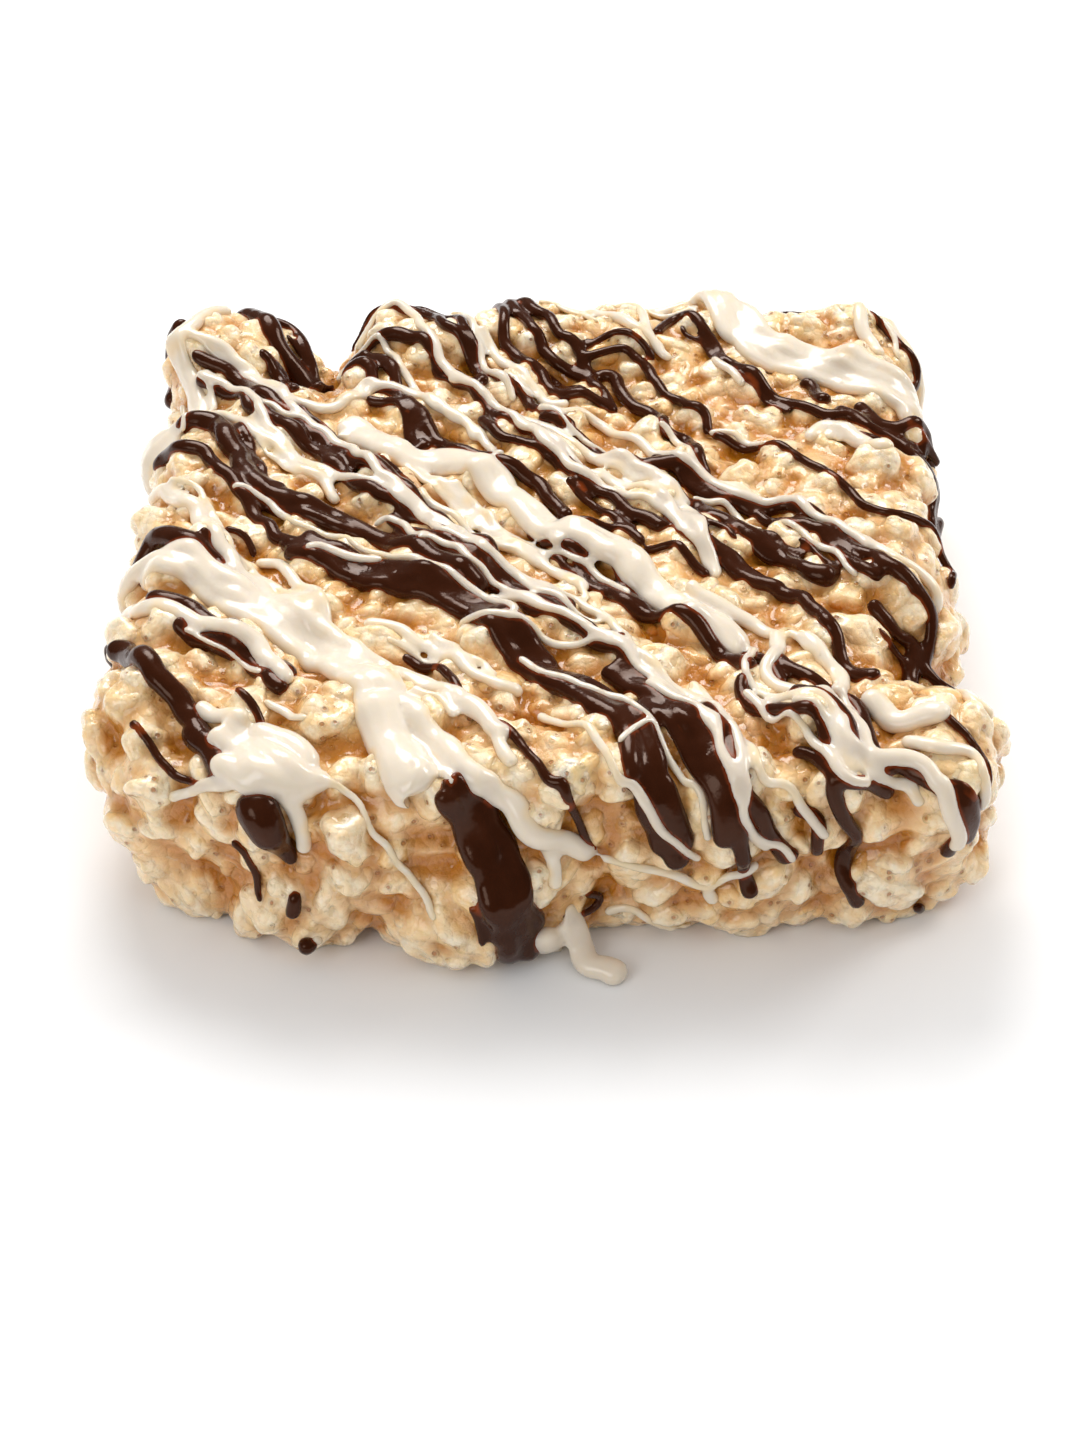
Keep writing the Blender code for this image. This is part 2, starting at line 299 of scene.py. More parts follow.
def scatterTree():
    # Geometry Nodes: spreads one kind of grain over a surface and settles each on the ground
    tree, given = startTree(
        "scatterGrains", objects=("Grain", "Ground"), wholes=("Seed", "Kind", "Kinds"),
        floats=(("Gap", 3.0), ("Lift", 0.5), ("Uneven", 0.4), ("Tilt", 0.4), ("Smallest", 0.8),
                ("Largest", 1.2), ("Under", 0.0), ("Lowest", 1.8)))
    facing = put(tree, 'ShaderNodeSeparateXYZ', {0: put(tree, 'GeometryNodeInputNormal').outputs[0]})
    above = put(tree, 'ShaderNodeMath', {0: facing.outputs[2], 1: -0.7}, operation='GREATER_THAN')
    wanted = put(tree, 'ShaderNodeMath', {0: above.outputs[0], 1: given["Under"]}, operation='MAXIMUM')
    spread = put(tree, 'GeometryNodeDistributePointsOnFaces', {
        "Mesh": given["Geometry"], "Distance Min": given["Gap"], "Density Max": 2.0,
        "Density Factor": wanted.outputs[0], "Seed": given["Seed"]}, distribute_method='POISSON')
    # falls onto the ground from outside
    ground = put(tree, 'GeometryNodeObjectInfo', {"Object": given["Ground"]}, transform_space='RELATIVE')
    reach = put(tree, 'ShaderNodeVectorMath', {0: spread.outputs["Normal"], "Scale": grains["drop"]},
                operation='SCALE')
    high = put(tree, 'ShaderNodeVectorMath', {
        0: put(tree, 'GeometryNodeInputPosition').outputs[0], 1: reach.outputs[0]}, operation='ADD')
    back = put(tree, 'ShaderNodeVectorMath', {0: spread.outputs["Normal"], "Scale": -1.0}, operation='SCALE')
    fall = put(tree, 'GeometryNodeRaycast', {
        "Target Geometry": ground.outputs["Geometry"], "Source Position": high.outputs[0],
        "Ray Direction": back.outputs[0], "Ray Length": grains["farthest"]})
    uneven = put(tree, 'FunctionNodeRandomValue', {
        2: put(tree, 'ShaderNodeMath', {0: given["Uneven"], 1: -1.0}, operation='MULTIPLY').outputs[0],
        3: given["Uneven"], "Seed": 3}, data_type='FLOAT')
    lift = put(tree, 'ShaderNodeMath', {0: given["Lift"], 1: uneven.outputs[1]}, operation='ADD')
    raised = put(tree, 'ShaderNodeVectorMath', {0: spread.outputs["Normal"], "Scale": lift.outputs[0]},
                 operation='SCALE')
    rest = put(tree, 'ShaderNodeVectorMath', {0: fall.outputs["Hit Position"], 1: raised.outputs[0]},
               operation='ADD')
    # the lowest stand on the ground, not in it
    level = put(tree, 'ShaderNodeSeparateXYZ', {0: rest.outputs[0]})
    stood = put(tree, 'ShaderNodeMath', {0: level.outputs[2], 1: given["Lowest"]}, operation='MAXIMUM')
    seat = put(tree, 'ShaderNodeCombineXYZ', {0: level.outputs[0], 1: level.outputs[1], 2: stood.outputs[0]})
    landed = put(tree, 'GeometryNodeSetPosition', {
        "Geometry": spread.outputs["Points"], "Selection": fall.outputs["Is Hit"],
        "Position": seat.outputs[0]})
    # each grain turned and tilted by chance
    least = put(tree, 'ShaderNodeCombineXYZ', {
        0: put(tree, 'ShaderNodeMath', {0: given["Tilt"], 1: -1.0}, operation='MULTIPLY').outputs[0],
        1: put(tree, 'ShaderNodeMath', {0: given["Tilt"], 1: -1.0}, operation='MULTIPLY').outputs[0], 2: 0.0})
    most = put(tree, 'ShaderNodeCombineXYZ', {0: given["Tilt"], 1: given["Tilt"], 2: 6.283})
    turn = put(tree, 'FunctionNodeRandomValue', {0: least.outputs[0], 1: most.outputs[0], "Seed": 7},
               data_type='FLOAT_VECTOR')
    spin = put(tree, 'FunctionNodeEulerToRotation', {0: turn.outputs[0]})
    turned = put(tree, 'FunctionNodeRotateRotation', {0: spread.outputs["Rotation"], 1: spin.outputs[0]},
                 rotation_space='LOCAL')
    size = put(tree, 'FunctionNodeRandomValue', {2: given["Smallest"], 3: given["Largest"], "Seed": 11},
               data_type='FLOAT')
    last = put(tree, 'ShaderNodeMath', {0: given["Kinds"], 1: 1.0}, operation='SUBTRACT')
    drawn = put(tree, 'FunctionNodeRandomValue', {4: 0, 5: last.outputs[0], "Seed": 13}, data_type='INT')
    chosen = put(tree, 'FunctionNodeCompare', {2: drawn.outputs[2], 3: given["Kind"]}, data_type='INT',
                 operation='EQUAL')
    kind = put(tree, 'GeometryNodeObjectInfo', {"Object": given["Grain"]})
    placed = put(tree, 'GeometryNodeInstanceOnPoints', {
        "Points": landed.outputs[0], "Selection": chosen.outputs[0], "Instance": kind.outputs["Geometry"],
        "Rotation": turned.outputs[0], "Scale": size.outputs[1]})
    chance = put(tree, 'FunctionNodeRandomValue', {2: 0.0, 3: 1.0, "Seed": 17}, data_type='FLOAT')
    toned = put(tree, 'GeometryNodeStoreNamedAttribute', {
        "Geometry": placed.outputs[0], "Name": "tone", "Value": chance.outputs[1]},
        data_type='FLOAT', domain='INSTANCE')
    return endTree(tree, toned.outputs[0])


def runTree(target, tree, **values):
    # adds the tree as a modifier and sets its inputs by identifier before anything is evaluated
    modifier = target.modifiers.new(tree.name, 'NODES')
    modifier.node_group = tree
    for item in tree.interface.items_tree:
        if item.item_type == 'SOCKET' and item.in_out == 'INPUT' and item.name in values:
            modifier[item.identifier] = values[item.name]


def scatter(name, tree, over, grain, **values):
    seat = copyOf(over)
    runTree(seat, tree, Grain=grain, Ground=over, **values)
    return bake(seat, name)


def join(name, *objects):
    mesh = bmesh.new()
    for each in objects:
        mesh.from_mesh(each.data)
    remove(*objects)
    return newObject(name, closeMesh(name, mesh))


def voxel(target, size):
    modifier = target.modifiers.new("voxel", 'REMESH')
    modifier.mode = 'VOXEL'
    modifier.voxel_size = size


def offset(target, amount):
    modifier = target.modifiers.new("offset", 'DISPLACE')
    modifier.mid_level = 0
    modifier.strength = amount


def soften(target, factor, times):
    modifier = target.modifiers.new("soften", 'SMOOTH')
    modifier.factor = factor
    modifier.iterations = times


def melt(target, voxelSize, grow, fineVoxel, shrink, smoothing):
    # closes narrow gaps: grows the shape, joins what touches, then shrinks it back
    voxel(target, voxelSize)
    offset(target, grow)
    voxel(target, fineVoxel)
    offset(target, shrink)
    soften(target, 0.5, smoothing)


def thinTo(target, triangles):
    # triangulates, and collapses the flattest edges until it is light enough
    mesh = bmesh.new()
    mesh.from_mesh(target.data)
    bmesh.ops.triangulate(mesh, faces=mesh.faces[:])
    mesh.to_mesh(target.data)
    mesh.free()
    count = len(target.data.polygons)
    if count <= triangles:
        return target
    modifier = target.modifiers.new("thin", 'DECIMATE')
    modifier.ratio = triangles / count
    return bake(target, target.name)


def blurred(values, edges, times):
    # averages each vertex with its neighbours, again and again
    a, b = edges[:, 0], edges[:, 1]
    count = np.bincount(a, minlength=len(values)) + np.bincount(b, minlength=len(values)) + 1
    values = np.atleast_2d(values.T).T.astype(float)
    for _ in range(times):
        total = values.copy()
        for axis in range(values.shape[1]):
            total[:, axis] += np.bincount(a, values[b, axis], minlength=len(values))
            total[:, axis] += np.bincount(b, values[a, axis], minlength=len(values))
        values = total / count[:, None]
    return values


def markCreases(mesh, times, name, scale):
    # how far each vertex lies below its blurred neighbourhood, from -1 on crests to 1 in creases
    points = readVectors(mesh, "co")
    edges = np.empty(len(mesh.edges) * 2, dtype=np.int32)
    mesh.edges.foreach_get("vertices", edges)
    edges = edges.reshape(-1, 2)
    depth = ((blurred(points, edges, times) - points) * readVectors(mesh, "normal")).sum(axis=1)
    depth = blurred(depth, edges, 2)[:, 0]
    writeValue(mesh, name, np.clip(depth / scale, -1, 1))


def spreadKinds(name, tree, form, kinds, seed, **values):
    # one object for each kind, all from the same spread of points
    return [scatter(name, tree, form, kind, Seed=seed, Kind=i, Kinds=len(kinds), **values)
            for i, kind in enumerate(kinds)]


marshmallowLayer = {
    # how deep the core lies, then the voxels and offsets that melt the film together
    "coreInset": 2.4, "voxel": 0.42, "grow": 0.42, "fineVoxel": 0.38, "shrink": -0.5,
    # bubbles and strings: height and width of each
    "grit": (0.08, 0.8), "bubble": (0.2, 1.9), "thickness": (0.24, 4), "triangles": 190000,
    # how often the surface is blurred to find its creases and hollows, and the depth that counts as full
    "marks": {"crease": (12, 0.35), "hollow": (90, 1.4)},
}


def makeRice():
    tree = scatterTree()
    form = makeBlock("form", 0.0)
    kinds = [makeGrain("kind_" + name, i + 1, size, blister, pits)
             for i, (name, size, blister, pits) in enumerate(grains["kinds"])]
    lying = spreadKinds("lying", tree, form, kinds, 1, **grains["lying"])
    perched = spreadKinds("perched", tree, form, kinds, 2, **grains["perched"])
    loose = []
    for (name, *_), lower, upper in zip(grains["kinds"], lying, perched):
        loose.append(join(name + "_grains", lower, upper))
        keepAbove(loose[-1], 0.03)
    # a film of marshmallow: runs over sunk grains, and closes the creases between those that stand up
    sunk = spreadKinds("sunk", tree, form, kinds, 3, Under=1.0, **grains["sunk"])
    layer = marshmallowLayer
    core = makeBlock("core", layer["coreInset"])
    mass = join("mass", core, *sunk, *[copyOf(each) for each in loose])
    melt(mass, layer["voxel"], layer["grow"], layer["fineVoxel"], layer["shrink"], 2)
    mass = bake(mass, "marshmallow_film")
    points = readVectors(mass.data, "co")
    # bubbles and strings in the film, thick in places and thin in others
    (grit, gritWidth), (bubble, bubbleWidth) = layer["grit"], layer["bubble"]
    thickness, thicknessWidth = layer["thickness"]
    rise = [grit * noise.noise(Vector(p) / gritWidth)
            + bubble * (0.42 - min(noise.voronoi(Vector(p) / bubbleWidth)[0][0], 1))
            + thickness * noise.noise(Vector(p) / thicknessWidth) for p in points]
    points += readVectors(mass.data, "normal") * np.array(rise)[:, None]
    writePoints(mass.data, points)
    keepAbove(mass, 0.02)
    print("film", len(mass.data.polygons), "faces")
    mass = thinTo(mass, layer["triangles"])
    for name, (times, fullDepth) in layer["marks"].items():
        markCreases(mass.data, times, name, fullDepth)
    remove(form, *kinds)
    return mass, loose


def makeBlanket(film, loose):
    # the rice with its gaps closed: what runny chocolate settles on
    blanket = join("blanket", *[copyOf(each) for each in (film, *loose)])
    melt(blanket, voxelSize=0.6, grow=0.7, fineVoxel=0.6, shrink=-0.6, smoothing=2)
    return bake(blanket, "blanket")


# Materials

def newMaterial(name):
    made = bpy.data.materials.new(name)
    made.use_nodes = True
    made.node_tree.nodes.clear()
    return made, made.node_tree


def coatRice(tree, place, tone, toasts, roughest, glaze):
    # colour, with painted light and painted shade, relief and glaze of the grains and of the film over them
    toast = put(tree, 'ShaderNodeMix', {0: tone, 6: rgb(toasts[0]), 7: rgb(toasts[1])}, data_type='RGBA')
    crease = put(tree, 'ShaderNodeAttribute', attribute_name="crease").outputs["Fac"]
    hollow = put(tree, 'ShaderNodeAttribute', attribute_name="hollow").outputs["Fac"]
    # a random mottle of pale cream, lifted on the crests by painted light; painted shade and glow in amber in
    # the creases, deeper in the hollows
    mottle = put(tree, 'ShaderNodeTexNoise', {"Vector": place, "Scale": 1 / (1.6 * mm), "Detail": 4.0})
    pale = put(tree, 'ShaderNodeMapRange', {0: mottle.outputs[0], 1: 0.4, 2: 0.65, 3: 0.2, 4: 1.0})
    # painted light: the crests are mixed towards pale cream
    crestLight = put(tree, 'ShaderNodeMapRange', {0: crease, 1: -0.9, 2: 0.0, 3: 0.8, 4: 0.12})
    lit = put(tree, 'ShaderNodeMath', {0: pale.outputs[0], 1: crestLight.outputs[0]}, operation='MULTIPLY')
    mottleAndCrestLight = put(tree, 'ShaderNodeMix', {0: lit.outputs[0], 6: toast.outputs[2], 7: rgb("#FFF0D8")},
                data_type='RGBA')
    # painted shade and glow: the creases are mixed towards amber
    low = put(tree, 'ShaderNodeMapRange', {0: crease, 1: -0.35, 2: 0.65, 3: 0.0, 4: 0.92})
    creaseShade = put(tree, 'ShaderNodeMix', {0: low.outputs[0], 6: mottleAndCrestLight.outputs[2], 7: rgb("#C57E28")},
                data_type='RGBA')
    # painted shade and glow: the deep hollows are mixed towards a deeper amber
    hollowShadeMask = put(tree, 'ShaderNodeMapRange', {0: hollow, 1: 0.05, 2: 0.75, 3: 0.0, 4: 0.88})
    hollowShade = put(tree, 'ShaderNodeMix', {0: hollowShadeMask.outputs[0], 6: creaseShade.outputs[2], 7: rgb("#C0740E")},
                data_type='RGBA')
    # open pores about half a millimetre across, with a lip round each; each hole is painted darker as painted
    # shade
    pores = put(tree, 'ShaderNodeTexVoronoi', {"Vector": place, "Scale": 1 / (1.3 * mm), "Randomness": 1.0})
    pit = put(tree, 'ShaderNodeMapRange', {0: pores.outputs["Distance"], 1: 0.12, 2: 0.22, 3: 1.0, 4: 0.0})
    ring = put(tree, 'ShaderNodeMapRange', {0: pores.outputs["Distance"], 1: 0.22, 2: 0.38, 3: 1.0, 4: 0.0})
    lot = put(tree, 'ShaderNodeSeparateColor', {0: pores.outputs["Color"]})
    drawn = put(tree, 'ShaderNodeMath', {0: lot.outputs[0], 1: 0.55}, operation='GREATER_THAN')
    hole = put(tree, 'ShaderNodeMath', {0: pit.outputs[0], 1: drawn.outputs[0]}, operation='MULTIPLY')
    lip = put(tree, 'ShaderNodeMath', {0: ring.outputs[0], 1: drawn.outputs[0]}, operation='MULTIPLY')
    # painted shade: the holes are mixed towards dark brown
    shade = put(tree, 'ShaderNodeMath', {0: hole.outputs[0], 1: 0.75}, operation='MULTIPLY')
    body = put(tree, 'ShaderNodeMix', {0: shade.outputs[0], 6: hollowShade.outputs[2], 7: rgb("#A85F1A")},
               data_type='RGBA')
    # relief: bubbles under the glaze, then a crackle, then the pores where bubbles have burst
    domed = put(tree, 'ShaderNodeMath', {0: pores.outputs["Distance"], 1: pores.outputs["Distance"]},
                operation='MULTIPLY')
    bulged = put(tree, 'ShaderNodeBump', {
        "Height": domed.outputs[0], "Strength": 0.5, "Distance": 0.8 * mm}, invert=True)
    crackle = put(tree, 'ShaderNodeTexNoise', {
        "Vector": place, "Scale": 1 / (0.7 * mm), "Detail": 4.0, "Roughness": 0.6})
    crisp = put(tree, 'ShaderNodeBump', {
        "Height": crackle.outputs[0], "Strength": 0.6, "Distance": 0.4 * mm, "Normal": bulged.outputs[0]})
    rim = put(tree, 'ShaderNodeMath', {0: hole.outputs[0], 1: -2.4, 2: lip.outputs[0]},
              operation='MULTIPLY_ADD')
    pitted = put(tree, 'ShaderNodeBump', {
        "Height": rim.outputs[0], "Strength": 0.9, "Distance": 0.14 * mm, "Normal": crisp.outputs[0]})
    shine = put(tree, 'ShaderNodeMapRange', {0: mottle.outputs[0], 1: 0.3, 2: 0.7, 3: 0.16, 4: roughest})
    shader = put(tree, 'ShaderNodeBsdfPrincipled', {
        "Base Color": body.outputs[2], "Roughness": shine.outputs[0], "Normal": pitted.outputs[0],
        "IOR": 1.45, "Coat Roughness": 0.05, **glaze})
    put(tree, 'ShaderNodeOutputMaterial', {0: shader.outputs[0]})


def puffedRice():
    # puffed rice under a thin glaze of marshmallow, with burst bubbles and open pores
    material, tree = newMaterial("glazedPuffedRice")
    place = put(tree, 'ShaderNodeTexCoord').outputs["Object"]
    # each grain toasted a little more or less
    tone = put(tree, 'ShaderNodeAttribute', attribute_name="tone").outputs["Fac"]
    coatRice(tree, place, tone, toasts=("#FCDCAE", "#F4C680"), roughest=0.36, glaze={
        "Subsurface Weight": 0.3, "Subsurface Scale": 1.0 * mm, "Subsurface Radius": (1.0, 0.72, 0.45),
        "Coat Weight": 0.8})
    return material


def marshmallow():
    # melted marshmallow set over and between the grains, glossy, with small bubbles in it
    material, tree = newMaterial("marshmallowFilm")
    place = put(tree, 'ShaderNodeTexCoord').outputs["Object"]
    patch = put(tree, 'ShaderNodeTexNoise', {"Vector": place, "Scale": 1 / (4 * mm), "Detail": 3.0})
    coatRice(tree, place, patch.outputs[0], toasts=("#FAD7A4", "#F1BE78"), roughest=0.28, glaze={
        "Subsurface Weight": 0.4, "Subsurface Scale": 1.3 * mm, "Subsurface Radius": (1.0, 0.68, 0.38),
        "Coat Weight": 0.7})
    return material


def darkChocolate():
    # melted dark compound chocolate, set glossy: nearly black brown, red-brown at its thin edges
    material, tree = newMaterial("darkChocolateSetGlossy")
    place = put(tree, 'ShaderNodeTexCoord').outputs["Object"]
    thin = put(tree, 'ShaderNodeAttribute', attribute_name="thin").outputs["Fac"]
    covered = put(tree, 'ShaderNodeAttribute', attribute_name="underWhite").outputs["Fac"]
    cloud = put(tree, 'ShaderNodeTexNoise', {"Vector": place, "Scale": 1 / (3 * mm), "Detail": 3.0})
    brown = put(tree, 'ShaderNodeMix', {0: cloud.outputs[0], 6: rgb("#260D04"), 7: rgb("#401C0B")},
                data_type='RGBA')
    edge = put(tree, 'ShaderNodeMapRange', {0: thin, 1: 0.45, 2: 1.0, 3: 0.0, 4: 0.9})
    reddish = put(tree, 'ShaderNodeMix', {0: edge.outputs[0], 6: brown.outputs[2], 7: rgb("#8E3C12")},
                  data_type='RGBA')
    # a red-brown line where white lies over it
    line = put(tree, 'ShaderNodeMapRange', {0: covered, 1: 0.3, 2: 0.9, 3: 0.0, 4: 0.7})
    body = put(tree, 'ShaderNodeMix', {0: line.outputs[0], 6: reddish.outputs[2], 7: rgb("#7E3212")},
               data_type='RGBA')
    wave = put(tree, 'ShaderNodeTexNoise', {"Vector": place, "Scale": 1 / (1.8 * mm), "Detail": 3.0})
    bumpy = put(tree, 'ShaderNodeBump', {"Height": wave.outputs[0], "Strength": 0.25, "Distance": 0.4 * mm})
    shine = put(tree, 'ShaderNodeMapRange', {0: cloud.outputs[0], 1: 0.3, 2: 0.7, 3: 0.12, 4: 0.24})
    shader = put(tree, 'ShaderNodeBsdfPrincipled', {
        "Base Color": body.outputs[2], "Roughness": shine.outputs[0], "Normal": bumpy.outputs[0], "IOR": 1.42,
        "Specular IOR Level": 0.45, "Specular Tint": rgb("#EAC8B2")})
    put(tree, 'ShaderNodeOutputMaterial', {0: shader.outputs[0]})
    return material


def whiteChocolate():
    # melted white compound chocolate: ivory, satin, lets a little light in, grey where it is thin over dark
    material, tree = newMaterial("whiteChocolateSetSatin")
    place = put(tree, 'ShaderNodeTexCoord').outputs["Object"]
    over = put(tree, 'ShaderNodeAttribute', attribute_name="overDark").outputs["Fac"]
    thin = put(tree, 'ShaderNodeAttribute', attribute_name="thin").outputs["Fac"]
    cloud = put(tree, 'ShaderNodeTexNoise', {"Vector": place, "Scale": 1 / (4 * mm), "Detail": 2.0})
    ivory = put(tree, 'ShaderNodeMix', {0: cloud.outputs[0], 6: rgb("#DED1BD"), 7: rgb("#E8DBC9")},
                data_type='RGBA')
    warm = put(tree, 'ShaderNodeMapRange', {0: thin, 1: 0.2, 2: 1.0, 3: 0.0, 4: 0.75})
    butter = put(tree, 'ShaderNodeMix', {0: warm.outputs[0], 6: ivory.outputs[2], 7: rgb("#EACC9C")},
                 data_type='RGBA')
    stain = put(tree, 'ShaderNodeMapRange', {0: over, 1: 0.2, 2: 1.0, 3: 0.0, 4: 0.65})
    body = put(tree, 'ShaderNodeMix', {0: stain.outputs[0], 6: butter.outputs[2], 7: rgb("#CCBFB0")},
               data_type='RGBA')
    wave = put(tree, 'ShaderNodeTexNoise', {"Vector": place, "Scale": 1 / (2.2 * mm), "Detail": 3.0})
    bumpy = put(tree, 'ShaderNodeBump', {"Height": wave.outputs[0], "Strength": 0.14, "Distance": 0.4 * mm})
    shader = put(tree, 'ShaderNodeBsdfPrincipled', {
        "Base Color": body.outputs[2], "Roughness": 0.2, "Normal": bumpy.outputs[0], "IOR": 1.46,
        "Subsurface Weight": 0.4, "Subsurface Scale": 1.2 * mm, "Subsurface Radius": (1.0, 0.8, 0.5),
        "Coat Weight": 0.25, "Coat Roughness": 0.08})
    put(tree, 'ShaderNodeOutputMaterial', {0: shader.outputs[0]})
    return material


# Drizzle. Each strand: width, strands side by side, size of its end, then x and y along it in plan.
# A y under the front fold runs on down the front, and an x past the side runs down the side.

